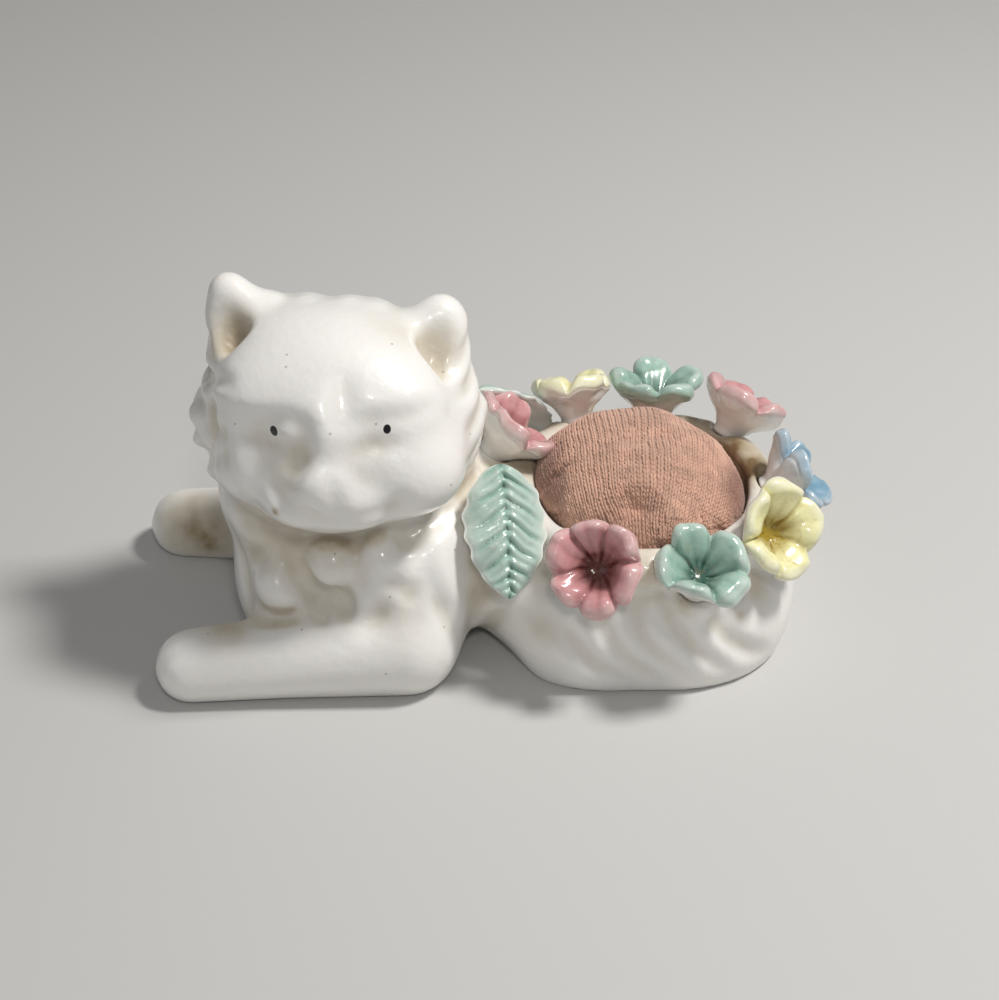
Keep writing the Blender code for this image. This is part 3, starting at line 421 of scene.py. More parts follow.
class Clay:
    """Clay in a box, kept as distances on a grid, that is built up and carved."""

    def __init__(self, low, high, step):
        self.low = Vector(low)
        self.step = step
        counts = [math.ceil((high[i] - low[i]) / step) + 1 for i in range(3)]
        self.field = np.full(counts, FAR, np.float32)

    def window(self, form, margin):
        """The part of the grid that form reaches, and the coordinates there."""
        spans = []
        ticks = []
        for axis in range(3):
            count = self.field.shape[axis]
            first = math.floor((form.low[axis] - margin - self.low[axis]) / self.step)
            last = math.ceil((form.high[axis] + margin - self.low[axis]) / self.step) + 1
            span = slice(min(max(first, 0), count), min(max(last, 0), count))
            spans.append(span)
            ticks.append(np.arange(span.start, span.stop, dtype=np.float32) * self.step + self.low[axis])
        return tuple(spans), np.meshgrid(*ticks, indexing="ij")

    def add(self, form, blend):
        where, places = self.window(form, blend + 3 * self.step)
        self.field[where] = soft_least(self.field[where], form.distance(*places), blend)

    def carve(self, form, blend):
        where, places = self.window(form, blend + 3 * self.step)
        self.field[where] = -soft_least(-self.field[where], form.distance(*places), blend)

    def level(self, bottom):
        """Cuts the clay off flat at bottom."""
        heights = np.arange(self.field.shape[2]) * self.step + self.low.z
        self.field = np.maximum(self.field, (bottom - heights).astype(np.float32))

    def soften(self):
        """Rounds the clay a little, as a coat of glaze does."""
        for axis in range(3):
            ends = [np.take(self.field, [i], axis) for i in (0, -1)]
            wide = np.concatenate([ends[0], self.field, ends[1]], axis)
            count = self.field.shape[axis]
            parts = [np.take(wide, range(i, i + count), axis) for i in range(3)]
            self.field = (parts[0] + 2 * parts[1] + parts[2]) / 4

    def blurred(self, every, rounds):
        """The same clay on a grid that keeps every so many steps, rounded over many rounds."""
        copy = Clay(self.low, self.low, self.step * every)
        limit = 5 * MM
        copy.field = np.clip(self.field[::every, ::every, ::every], -limit, limit)
        for _ in range(rounds):
            copy.soften()
        return copy

    def value(self, places):
        """The distance at places, an array of points."""
        ticks = (places - np.array(self.low)) / self.step
        ticks = np.clip(ticks, 0, np.array(self.field.shape) - 1.001)
        base = ticks.astype(int)
        share = ticks - base
        total = 0
        for corner in np.ndindex(2, 2, 2):
            weight = np.prod(np.where(corner, share, 1 - share), axis=-1)
            total = total + weight * self.field[tuple(np.moveaxis(base + corner, -1, 0))]
        return total

    def slope(self, places):
        """The way out of the clay at places."""
        steps = np.eye(3) * self.step
        out = np.stack([self.value(places + step) - self.value(places - step) for step in steps], -1)
        return out / np.maximum(np.linalg.norm(out, axis=-1, keepdims=True), 1e-9)

    def settle(self, places):
        """Places moved to the clay's surface."""
        for _ in range(8):
            places = places - self.slope(places) * self.value(places)[..., None] * 0.8
        return places

    def seen(self, pixels):
        """Where the camera sees the clay at pixels of the photograph."""
        ways = pixel_ways(pixels)
        depths = np.arange(0.70, 1.25, 0.0006) * CAMERA_DISTANCE
        places = np.array(camera_place()) + ways[:, None, :] * depths[:, None]
        depth = self.value(places)
        first = np.where(depth.min(axis=1) < 0, np.argmax(depth < 0, axis=1), np.argmin(depth, axis=1))
        return self.settle(places[np.arange(len(first)), first])

    def mesh(self, name):
        """The surface of the clay."""
        grid = openvdb.FloatGrid(FAR)
        grid.copyFromArray(self.field)
        points, quads = grid.convertToQuads(0.0)
        places = points.astype(float) * self.step + np.array(self.low)
        mesh = bpy.data.meshes.new(name)
        mesh.from_pydata(places.tolist(), [], quads.tolist())
        return mesh


def camera_back():
    """From what the camera looks at towards the camera."""
    return Vector((0, -math.cos(CAMERA_ELEVATION), math.sin(CAMERA_ELEVATION)))


def camera_place():
    return CAMERA_AIM + camera_back() * CAMERA_DISTANCE


def pixel_ways(pixels):
    """The ways out of the camera through pixels of the photograph."""
    pixels = np.array(pixels, float)
    side = (pixels[:, 0] - PHOTO_WIDTH / 2) / LENS_IN_PIXELS
    rise = (PHOTO_HEIGHT / 2 - pixels[:, 1]) / LENS_IN_PIXELS
    right = np.array((1.0, 0, 0))
    back = np.array(camera_back())
    up = np.cross(back, right)
    ways = side[:, None] * right + rise[:, None] * up - back
    return ways / np.linalg.norm(ways, axis=1, keepdims=True)


def smooth_path(points, count):
    """Count points along a smooth curve through points."""
    points = np.array(points, float)
    padded = np.vstack([2 * points[0] - points[1], points, 2 * points[-1] - points[-2]])
    steps = np.linspace(0, len(points) - 1 - 1e-6, count)
    first = steps.astype(int)
    t = (steps - first)[:, None]
    a, b, c, d = (padded[first + i] for i in range(4))
    return 0.5 * (2 * b + (c - a) * t + (2 * a - 5 * b + 4 * c - d) * t**2 + (3 * b - a - 3 * c + d) * t**3)


def draw(clay, path, radius, height, blend):
    """Raises a ridge along a path on the clay, or cuts a crease where height is below nothing."""
    out = clay.slope(path)
    fade = np.sin(np.pi * np.linspace(0, 1, len(path))) ** 0.5
    sink = radius - abs(height) * fade
    sign = -1 if height > 0 else 1
    centres = path + sign * out * sink[:, None]
    form = limb([(centre, radius) for centre in centres])
    if height > 0:
        clay.add(form, blend)
    else:
        clay.carve(form, blend)


def facing(place, axis, hint):
    """A frame at place with its Z along axis and its X as near as can be to hint."""
    up = Vector(axis).normalized()
    side = Vector(hint) - up * up.dot(Vector(hint))
    side.normalize()
    turn = Matrix((side, up.cross(side), up)).transposed()
    return Matrix.Translation(place) @ turn.to_4x4()


def lip_point(bearing, out=0.0, rise=0.0):
    """A point by the lip's middle line: bearing from +X, distance out, height over it."""
    reach = LIP_RADIUS + out
    return Vector((reach * math.cos(bearing), reach * math.sin(bearing), LIP_MIDDLE + rise))


def flower_frame(bearing, out, rise, lean, spin):
    """A flower's frame at the underside of its foot, with Z out through its mouth."""
    bearing = math.radians(bearing)
    outward = Vector((math.cos(bearing), math.sin(bearing), 0))
    along = Vector((-math.sin(bearing), math.cos(bearing), 0))
    axis = outward * lean[0] + along * lean[1] + Vector((0, 0, lean[2]))
    place = facing(lip_point(bearing, out * MM, rise * MM), axis, along)
    return place @ Matrix.Rotation(math.radians(spin), 4, "Z")


def leaf_frame(bearing, out, rise, tip, face):
    """A leaf's frame at the middle of its blade: X to its tip, Z out of its face."""
    return facing(lip_point(math.radians(bearing), out * MM, rise * MM), face, tip)


def leaf_seat(place):
    """Where the underside of a leaf's stalk is, and the frame there."""
    return place @ Matrix.Translation((-0.18 * LEAF_LENGTH, 0, -LEAF_WALL / 2 - LEAF_STALK))


def head_turn():
    """Columns: towards the viewer's right, out through the nose, up through the crown."""
    return Matrix.Rotation(-HEAD_TURN, 3, "Z") @ Matrix.Diagonal((1, -1, 1))


def on_head(side, ahead, up):
    """A place in the head, in shares of its half width, half depth and half height."""
    reach = Vector((side * HEAD_HALF_WIDTH, ahead * HEAD_HALF_DEPTH, up * HEAD_HALF_HEIGHT))
    return HEAD_CENTRE + head_turn() @ reach


def head_egg(place, size):
    """An egg in the head's own directions, in shares of the head's half sizes."""
    radii = (size[0] * HEAD_HALF_WIDTH, size[1] * HEAD_HALF_DEPTH, size[2] * HEAD_HALF_HEIGHT)
    return egg(on_head(*place), radii, head_turn())


# The cat, mass by mass
def add_hindquarters(clay):
    """Builds up the drum under the bowl, a thigh on each side and the tail round the back."""
    clay.add(egg((0, 0, HAUNCH_MIDDLE), (HAUNCH_HALF_LENGTH, HAUNCH_RADIUS, HAUNCH_HALF_HEIGHT)), 2 * MM)
    for side in (-1, 1):
        thigh = (0.62 * HAUNCH_HALF_LENGTH, 0.55 * HAUNCH_RADIUS, 0.82 * HAUNCH_HALF_HEIGHT)
        for ahead, out, up in ((-0.30, 0.40, 0.323), (0.26, 0.36, 0.258)):
            middle = (ahead * HAUNCH_HALF_LENGTH, side * out * HAUNCH_RADIUS, up * HAUNCH_HALF_HEIGHT)
            clay.add(egg(middle, thigh), 4 * MM)
    clay.add(ring(LIP_MIDDLE, LIP_RADIUS, LIP_THICKNESS), 3 * MM)


def add_tail(clay):
    """Lays the tail round the far side of the haunch."""
    stations = []
    for share in np.linspace(0, 1, 9):
        bearing = math.radians(35 + 105 * share)
        reach = 0.984 * HAUNCH_RADIUS
        place = (reach * math.cos(bearing), reach * math.sin(bearing), TAIL_RADIUS)
        stations.append((place, TAIL_RADIUS * (1 - 0.25 * share)))
    clay.add(limb(stations), 1.5 * MM)


def add_forequarters(clay):
    """Builds up the waist, the withers, the shoulders and the chest."""
    length, width, height = CHEST_HALF_LENGTH, CHEST_HALF_WIDTH, CHEST_HALF_HEIGHT
    loin = (-0.918 * WAIST_REACH, 0, 0.706 * CHEST_MIDDLE)
    clay.add(egg(loin, (0.857 * length, 0.833 * width, 0.50 * height)), 5 * MM)
    withers = (-1.412 * WAIST_REACH, 0, 1.03 * CHEST_MIDDLE)
    clay.add(egg(withers, (0.771 * length, 0.889 * width, 0.543 * height)), 5 * MM)
    clay.add(egg((-CHEST_REACH, 0, CHEST_MIDDLE), (length, width, height)), 5 * MM)
    bib = (-1.108 * CHEST_REACH, -0.111 * width, 1.47 * CHEST_MIDDLE)
    clay.add(egg(bib, (0.829 * length, 0.833 * width, 0.565 * height)), 4 * MM)
    breast = (-1.158 * CHEST_REACH, -0.278 * width, 0.53 * CHEST_MIDDLE)
    clay.add(egg(breast, (0.571 * length, 0.778 * width, 0.478 * height)), 4 * MM)
    for side in (-1, 1):
        shoulder = (-0.794 * CHEST_REACH, side * 0.66 * width, 0.735 * CHEST_MIDDLE)
        clay.add(egg(shoulder, (0.62 * length, 0.60 * width, 0.70 * height)), 4 * MM)


def add_forelegs(clay):
    """Lays the forelegs on the floor, the one on the display side spread wider."""
    for side, reach, spread in FORELEGS:
        elbow = (-ELBOW_REACH, side * ELBOW_SPREAD, 0.74 * ELBOW_RADIUS)
        wrist = (-0.6 * reach - 0.4 * ELBOW_REACH, side * 0.94 * spread, 0.90 * PAW_RADIUS)
        paw = (-reach, side * spread, 0.80 * PAW_RADIUS)
        clay.add(limb([(elbow, ELBOW_RADIUS), (wrist, 1.12 * PAW_RADIUS), (paw, PAW_RADIUS)]), 3 * MM)


def notch_waist(clay):
    """Draws the flanks in at the floor, between the elbows and the haunches."""
    for side in (-1, 1):
        depth = 1.38 * WAIST_HALF_WIDTH
        middle = (-WAIST_REACH, side * (WAIST_HALF_WIDTH + depth), -0.26 * HAUNCH_HALF_HEIGHT)
        hollow = egg(middle, (0.313 * WAIST_REACH, 1.06 * depth, 0.71 * HAUNCH_HALF_HEIGHT))
        clay.carve(hollow, 3 * MM)


def add_head(clay):
    """Builds up the skull, the flat crown, the jaw and the ruff that frames the face."""
    clay.add(head_egg((0, 0, 0), (1, 1, 1)), 4 * MM)
    clay.add(head_egg((-0.34, -0.12, 0.43), (0.50, 0.64, 0.48)), 3 * MM)
    clay.add(head_egg((0.30, -0.12, 0.35), (0.50, 0.64, 0.48)), 3 * MM)
    clay.add(head_egg((-0.79, -0.18, -0.23), (0.33, 0.44, 0.56)), 3 * MM)
    clay.add(head_egg((0.74, -0.10, -0.12), (0.34, 0.50, 0.66)), 3 * MM)
    clay.add(head_egg((0.04, 0.36, -0.46), (0.58, 0.50, 0.40)), 4 * MM)


def add_face(clay):
    """Models the forehead, brows, cheeks, nose, muzzle and chin, and draws in the sockets of the eyes."""
    clay.add(head_egg((0, 0.26, 0.50), (0.62, 0.50, 0.38)), 6 * MM)
    for side in (-1, 1):
        clay.add(head_egg((side * 0.42, 0.52, 0.44), (0.36, 0.28, 0.22)), 5 * MM)
        clay.carve(head_egg((side * 0.43, 1.06, 0.27), (0.28, 0.20, 0.10)), 3 * MM)
    clay.add(head_egg((-0.54, 0.60, -0.14), (0.28, 0.38, 0.34)), 3.5 * MM)
    clay.add(head_egg((0.54, 0.60, -0.13), (0.45, 0.46, 0.42)), 4.5 * MM)
    clay.add(head_egg((0.00, 0.74, 0.20), (0.24, 0.30, 0.36)), 5 * MM)
    clay.add(head_egg((0.02, 0.80, -0.26), (0.42, 0.40, 0.30)), 4 * MM)
    clay.add(head_egg((-0.02, 1.08, -0.02), (0.18, 0.14, 0.14)), 3.5 * MM)
    for side in (-1, 1):
        clay.add(head_egg((0.03 + side * 0.21, 0.97, -0.27), (0.22, 0.22, 0.20)), 2.5 * MM)
    clay.add(head_egg((0.04, 0.76, -0.46), (0.28, 0.24, 0.14)), 2.5 * MM)


def add_ears(clay):
    """Sets up the two thick ears with shallow cups; the one away from the bowl stands taller."""
    for side, share, base, tip in (
        (-1, 0.310, on_head(-0.61, -0.14, 0.50), on_head(-0.81, -0.34, 0.985)),
        (1, 0.290, on_head(0.66, -0.14, 0.45), on_head(0.75, -0.34, 0.83)),
    ):
        turn = facing((0, 0, 0), tip - base, (1, 0, 0)).to_3x3()
        width = share * HEAD_HALF_WIDTH
        thickness = 0.253 * HEAD_HALF_DEPTH
        clay.add(egg(base.lerp(tip, 0.22), (width, thickness, 0.465 * HEAD_HALF_HEIGHT), turn), 3 * MM)
        clay.add(limb([(base, 0.8 * width), (tip, 0.157 * HEAD_HALF_HEIGHT)]), 3 * MM)
        cup = base.lerp(tip, 0.62) + head_turn() @ Vector((side * 0.05 * thickness, 1.23 * thickness, 0))
        clay.carve(egg(cup, (0.42 * width, 0.46 * thickness, 0.25 * HEAD_HALF_HEIGHT), turn), 3 * MM)


def on_chest(ahead, side, up):
    """A place in the chest, in shares of its half length, half width and half height."""
    reach = Vector((ahead * CHEST_HALF_LENGTH, side * CHEST_HALF_WIDTH, up * CHEST_HALF_HEIGHT))
    return Vector((-CHEST_REACH, 0, CHEST_MIDDLE)) + reach


def on_haunch(ahead, side, up):
    """A place in the haunch, in shares of its half length, its radius and its half height."""
    reach = Vector((ahead * HAUNCH_HALF_LENGTH, side * HAUNCH_RADIUS, up * HAUNCH_HALF_HEIGHT))
    return Vector((0, 0, HAUNCH_MIDDLE)) + reach


def add_marks(clay):
    """Draws the deep crease under the jaw, the curls of the chest and the sweeps of fur on the thigh."""
    for place, marks, relief in (
        (on_head, HEAD_MARKS, HEAD_RELIEF),
        (on_chest, CHEST_MARKS, CHEST_RELIEF),
        (on_haunch, HAUNCH_MARKS, HAUNCH_RELIEF),
    ):
        for radius, height, shares in marks:
            path = smooth_path([place(*share) for share in shares], 4 * len(shares))
            draw(clay, clay.settle(path), radius * MM, relief * height * MM, 1.3 * MM)


def add_collars(clay):
    """Raises a small boss of slip under every flower and leaf."""
    radius = FOOT_RADIUS + FOOT_CLEARANCE + COLLAR_WALL
    for _, bearing, out, rise, lean, _, _, spin in FLOWERS.values():
        place = flower_frame(bearing, out, rise, lean, spin)
        seat = place.translation
        axis = place.to_3x3() @ Vector((0, 0, 1))
        root = lip_point(math.radians(bearing), out * MM * 0.5, -2.5 * MM)
        if (seat - root).length < 1 * MM:
            root -= Vector((0, 0, 2 * MM))
        clay.add(limb([(root, radius), (seat - axis * 1.2 * MM, radius)]), 2 * MM)
    for placing in LEAVES.values():
        seat = leaf_seat(leaf_frame(*placing))
        axis = seat.to_3x3() @ Vector((0, 0, 1))
        foot = seat.translation
        root = Vector((foot.x, 0.45 * foot.y, 14 * MM))
        clay.add(limb([(root, radius * 1.3), (foot - axis * 1.6 * MM, radius)]), 3 * MM)


def add_slip(clay):
    """Smears slip along the lip, where the flowers were stuck on."""
    for bearing, out, rise, radius in SLIP:
        place = lip_point(math.radians(bearing), out * MM, rise * MM)
        clay.add(egg(place, (radius * MM, radius * MM, 0.85 * radius * MM)), 2 * MM)


def add_crown_tufts(clay):
    """Runs low tufts back over the crown, so that its edge is uneven."""
    for side, height in ((-0.44, 0.5), (-0.24, 0.35), (0.08, 0.4), (0.28, 0.4)):
        path = [on_head(side * (1 + 0.1 * back), -back, 1.0) for back in (0.30, 0.5, 0.75, 1.0)]
        draw(clay, clay.settle(smooth_path(path, 16)), 2.2 * MM, height * MM, 1.5 * MM)


def add_ruff(clay):
    """Parts the ruff beside the face into tufts, and lays rows of tufts down the neck behind."""
    for side in (-1, 1):
        for up in (0.62, 0.36, 0.06, -0.24, -0.48, -0.70):
            shares = ((0.84, 0.22, up - 0.04), (1.0, 0.0, up), (1.1, -0.4, up + 0.1))
            path = [on_head(side * out, ahead, rise) for out, ahead, rise in shares]
            draw(clay, clay.settle(smooth_path(path, 14)), 1.3 * MM, -1.1 * MM, 1.2 * MM)
    for row in range(4):
        for step in range(7):
            angle = math.radians(-66 + 22 * step + 11 * (row % 2))
            up = 0.30 - 0.34 * row
            start = on_head(0.95 * math.sin(angle), -0.95 * math.cos(angle), up + 0.12)
            end = on_head(0.95 * math.sin(angle * 1.04), -1.0 * math.cos(angle), up - 0.22)
            draw(clay, clay.settle(smooth_path([start, end], 10)), 2.0 * MM, 0.6 * MM, 1.0 * MM)


def draw_photographed(clay):
    """Draws every lump, crease and ridge that the photograph shows."""
    for _, radius, height, pixels in LUMPS:
        path = clay.seen(smooth_path(pixels, 10))
        draw(clay, path, radius * MM, height * MM, 2.0 * MM)
    for _, radius, height, pixels in LINES:
        path = clay.seen(smooth_path(pixels, 8 * len(pixels)))
        draw(clay, path, radius * MM, height * MM, 1.3 * MM)


def draw_far_side(clay):
    """Sweeps the fur on the side that the photograph doesn't show, as on the near one."""
    for step in range(5):
        x = (-12 + 8.5 * step) * MM
        path = [
            Vector((x, HAUNCH_RADIUS, 17 * MM)),
            Vector((x + 2 * MM, HAUNCH_RADIUS, 13 * MM)),
            Vector((x + 6 * MM, HAUNCH_RADIUS, 9.5 * MM)),
        ]
        draw(clay, clay.settle(smooth_path(path, 16)), 1.5 * MM, -0.5 * MM, 0.9 * MM)
    for step in range(4):
        x = -CHEST_REACH + (-8 + 7 * step) * MM
        path = [
            Vector((x, CHEST_HALF_WIDTH, 27 * MM)),
            Vector((x + 2 * MM, 1.2 * CHEST_HALF_WIDTH, 16 * MM)),
        ]
        draw(clay, clay.settle(smooth_path(path, 16)), 1.4 * MM, -0.5 * MM, 0.9 * MM)


def draw_toes(clay):
    """Cuts shallow lines between the toes of each forepaw."""
    for side, reach, spread in FORELEGS:
        for toe in (-1, 0, 1):
            y = side * spread + toe * 2.6 * MM
            path = [
                Vector((-reach - 1 * MM, y, 0.80 * PAW_RADIUS + 5.4 * MM)),
                Vector((-reach - 4.4 * MM, y * 1.01, 0.80 * PAW_RADIUS + 3 * MM)),
                Vector((-reach - 6 * MM, y * 1.01, 0.5 * PAW_RADIUS)),
            ]
            draw(clay, clay.settle(smooth_path(path, 12)), 0.8 * MM, -0.28 * MM, 0.6 * MM)


def seat_form(place, outline):
    """The room that a flower's foot and its flare need in the clay."""
    turn = np.array(place.to_3x3())
    origin = np.array(place.translation)
    heights = [height for height, _ in outline]
    radii = [radius + FOOT_CLEARANCE for _, radius in outline]
    top = heights[-1] + 9 * MM
    heights.append(top)
    radii.append(radii[-1])

    def distance(x, y, z):
        local = [sum((p - origin[i]) * turn[i, axis] for i, p in enumerate((x, y, z))) for axis in range(3)]
        reach = np.interp(local[2], heights, radii)
        side = (np.hypot(local[0], local[1]) - reach) * 0.75
        return np.maximum(side, np.maximum(-FOOT_CLEARANCE - local[2], local[2] - top))

    middle = Vector(origin + turn[:, 2] * top / 2)
    span = Vector((1, 1, 1)) * (max(radii) + top / 2)
    return Form(distance, middle - span, middle + span)


def flower_outline(mouth, length):
    """Heights and radii up the outside of a flower."""
    flare = mouth - FOOT_RADIUS
    return [
        (0.0, FOOT_RADIUS),
        (0.34 * length, FOOT_RADIUS),
        (0.60 * length, FOOT_RADIUS + 0.26 * flare),
        (0.84 * length, FOOT_RADIUS + 0.70 * flare),
        (0.97 * length, mouth),
    ]


def sculpt_cat():
    """The whole cat in clay."""
    margin = 3 * MM
    low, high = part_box("cat_body")
    clay = Clay(low - Vector((1, 1, 1)) * margin, high + Vector((1, 1, 1)) * margin, CLAY_STEP)
    add_hindquarters(clay)
    add_forequarters(clay)
    notch_waist(clay)
    add_tail(clay)
    add_forelegs(clay)
    add_head(clay)
    add_face(clay)
    add_ears(clay)
    add_marks(clay)
    add_crown_tufts(clay)
    add_ruff(clay)
    draw_photographed(clay)
    draw_far_side(clay)
    draw_toes(clay)
    add_collars(clay)
    add_slip(clay)
    clay.carve(cushion(PAD_CLEARANCE), 0.8 * MM)
    for _, bearing, out, rise, lean, mouth, length, spin in FLOWERS.values():
        place = flower_frame(bearing, out, rise, lean, spin)
        clay.carve(seat_form(place, flower_outline(mouth * FLOWER_MOUTH, length * FLOWER_LENGTH)), 0.4 * MM)
    for placing in LEAVES.values():
        stalk = [(0.0, FOOT_RADIUS), (LEAF_STALK, FOOT_RADIUS)]
        clay.carve(seat_form(leaf_seat(leaf_frame(*placing)), stalk), 0.4 * MM)
    clay.soften()
    clay.soften()
    clay.level(0.0)
    clay.carve(post((-VENT_REACH, 0, -1 * MM), VENT_RADIUS, VENT_SHOWN), 0.3 * MM)
    return clay


def mesh_object(name, mesh, finish):
    """Puts a smooth mesh in the scene under its name."""
    made = bpy.data.objects.new(name, mesh)
    mesh.materials.append(finish)
    mesh.shade_smooth()
    bpy.context.scene.collection.objects.link(made)
    return made


def vertex_places(mesh):
    places = np.zeros(len(mesh.vertices) * 3)
    mesh.vertices.foreach_get("co", places)
    return places.reshape(-1, 3)


def set_numbers(mesh, title, values):
    """Keeps one number for each vertex, for the finish to read."""
    attribute = mesh.attributes.new(title, "FLOAT", "POINT")
    attribute.data.foreach_set("value", np.ascontiguousarray(values, np.float32))


def smooth_vertices(mesh, rounds, share):
    """Moves each vertex towards the middle of its neighbours."""
    places = vertex_places(mesh)
    ends = np.zeros(len(mesh.edges) * 2, int)
    mesh.edges.foreach_get("vertices", ends)
    ends = ends.reshape(-1, 2)
    count = np.bincount(ends.ravel(), minlength=len(places))[:, None]
    for _ in range(rounds):
        total = np.zeros_like(places)
        np.add.at(total, ends[:, 0], places[ends[:, 1]])
        np.add.at(total, ends[:, 1], places[ends[:, 0]])
        places = places + share * (total / count - places)
    mesh.vertices.foreach_set("co", places.ravel())
    return places


def body_grime_and_shade(clay, places):
    """How stained and shaded the glaze is painted: grime and painted shade in the hollows, grime round the
    bowl, and listed stains and painted shadows.
    """
    out = clay.slope(places)
    # Crease and hollow tint the glaze where the clay closes in: partly grime, partly painted shade
    crease = sum(0.5 * reach - clay.value(places + out * reach) for reach in (1.2 * MM, 2.4 * MM, 4 * MM))
    crease = np.clip(crease / (1.5 * MM), 0, 1)
    broad = clay.blurred(2, 12).value(places)
    fine = clay.blurred(1, 8).value(places)
    hollow = np.clip((0.12 * MM - broad) / (0.75 * MM), 0, 1) + np.clip(-fine / (0.30 * MM), 0, 0.8)
    # Listed stains, and painted shadows and shade from the head, the flowers and the leaf
    centres = clay.seen([pixel for pixel, _, _ in STAINS_AND_SHADOWS])
    stain_and_shadow = np.zeros(len(places))
    for centre, (_, spread, strength) in zip(centres, STAINS_AND_SHADOWS):
        gap = np.linalg.norm(places - centre, axis=1) / (spread * MM)
        stain_and_shadow = stain_and_shadow + strength * np.exp(-(gap**2))
    rim = np.hypot(np.hypot(places[:, 0], places[:, 1]) - LIP_RADIUS, places[:, 2] - LIP_MIDDLE - 1 * MM)
    behind = np.clip(0.5 + places[:, 1] / (40 * MM), 0.08, 1)
    stain_and_shadow = stain_and_shadow + 0.5 * behind * np.exp(-((rim / (3.5 * MM)) ** 2))
    return np.clip(stain_and_shadow + 0.20 * crease + HOLLOW_GRIME_AND_SHADE * np.clip(hollow, 0, 1), 0, 1)


# Finishes
def shader_of(finish):
    return finish.node_tree.nodes["Principled BSDF"]


def node(finish, kind, **values):
    """Adds a node, and sets what values name: sockets by their name, or else the node's own settings."""
    made = finish.node_tree.nodes.new(kind)
    for key, value in values.items():
        title = key.replace("_", " ").title()
        if title in made.inputs:
            made.inputs[title].default_value = value
        else:
            setattr(made, key, value)
    return made


def link(finish, source, target):
    finish.node_tree.links.new(source, target)


def object_places(finish):
    return node(finish, "ShaderNodeTexCoord").outputs["Object"]


def math_node(finish, operation, first, second):
    """A sum, product or the like of two sockets or numbers."""
    made = finish.node_tree.nodes.new("ShaderNodeMath")
    made.operation = operation
    for socket, value in zip(made.inputs, (first, second)):
        if isinstance(value, (int, float)):
            socket.default_value = value
        else:
            link(finish, value, socket)
    return made.outputs[0]


def ramp(finish, factor, stops):
    """A colour that follows factor through stops, each a position and a colour."""
    made = finish.node_tree.nodes.new("ShaderNodeValToRGB")
    link(finish, factor, made.inputs["Fac"])
    band = made.color_ramp
    while len(band.elements) < len(stops):
        band.elements.new(0.5)
    for element, (position, colour) in zip(band.elements, stops):
        element.position = position
        element.color = (*colour, 1)
    return made.outputs["Color"]


def mixed(finish, factor, first, second):
    """One colour laid over another by factor."""
    made = finish.node_tree.nodes.new("ShaderNodeMix")
    made.data_type = "RGBA"
    link(finish, factor, made.inputs["Factor"])
    for name, value in (("A", first), ("B", second)):
        socket = next(s for s in made.inputs if s.name == name and s.type == "RGBA")
        if isinstance(value, tuple):
            socket.default_value = (*value, 1)
        else:
            link(finish, value, socket)
    return next(s for s in made.outputs if s.type == "RGBA")


def spot(finish, places, centre, radii, softness):
    """One inside an egg-shaped spot about centre and nothing outside it."""
    offset = node(finish, "ShaderNodeVectorMath", operation="SUBTRACT")
    link(finish, places, offset.inputs[0])
    offset.inputs[1].default_value = tuple(centre)
    scaled = node(finish, "ShaderNodeVectorMath", operation="DIVIDE")
    link(finish, offset.outputs[0], scaled.inputs[0])
    scaled.inputs[1].default_value = tuple(radii)
    length = node(finish, "ShaderNodeVectorMath", operation="LENGTH")
    link(finish, scaled.outputs[0], length.inputs[0])
    edge = finish.node_tree.nodes.new("ShaderNodeMapRange")
    edge.interpolation_type = "SMOOTHSTEP"
    link(finish, length.outputs["Value"], edge.inputs["Value"])
    edge.inputs["From Min"].default_value = 1 - softness
    edge.inputs["From Max"].default_value = 1 + softness
    edge.inputs["To Min"].default_value = 1
    edge.inputs["To Max"].default_value = 0
    return edge.outputs["Result"]


def new_finish(name, roughness):
    finish = bpy.data.materials.new(name)
    finish.use_nodes = True
    shader_of(finish).inputs["Roughness"].default_value = roughness
    return finish


def glassy(finish, milk):
    """Gives a finish the clear coat of fired glaze, and the milkiness of what is under it."""
    shader = shader_of(finish)
    shader.inputs["IOR"].default_value = 1.52
    shader.inputs["Coat Weight"].default_value = 0.4
    shader.inputs["Coat Roughness"].default_value = 0.03
    shader.inputs["Subsurface Weight"].default_value = milk
    shader.inputs["Subsurface Radius"].default_value = (1.0, 0.85, 0.7)
    shader.inputs["Subsurface Scale"].default_value = 1.2 * MM


def ripple(finish, places, size, strength, distance):
    """The faint waviness of a fired surface, as a bump."""
    waves = node(finish, "ShaderNodeTexNoise", scale=1 / size, detail=2.0)
    link(finish, places, waves.inputs["Vector"])
    bump = node(finish, "ShaderNodeBump", strength=strength, distance=distance)
    link(finish, waves.outputs["Fac"], bump.inputs["Height"])
    link(finish, bump.outputs["Normal"], shader_of(finish).inputs["Normal"])


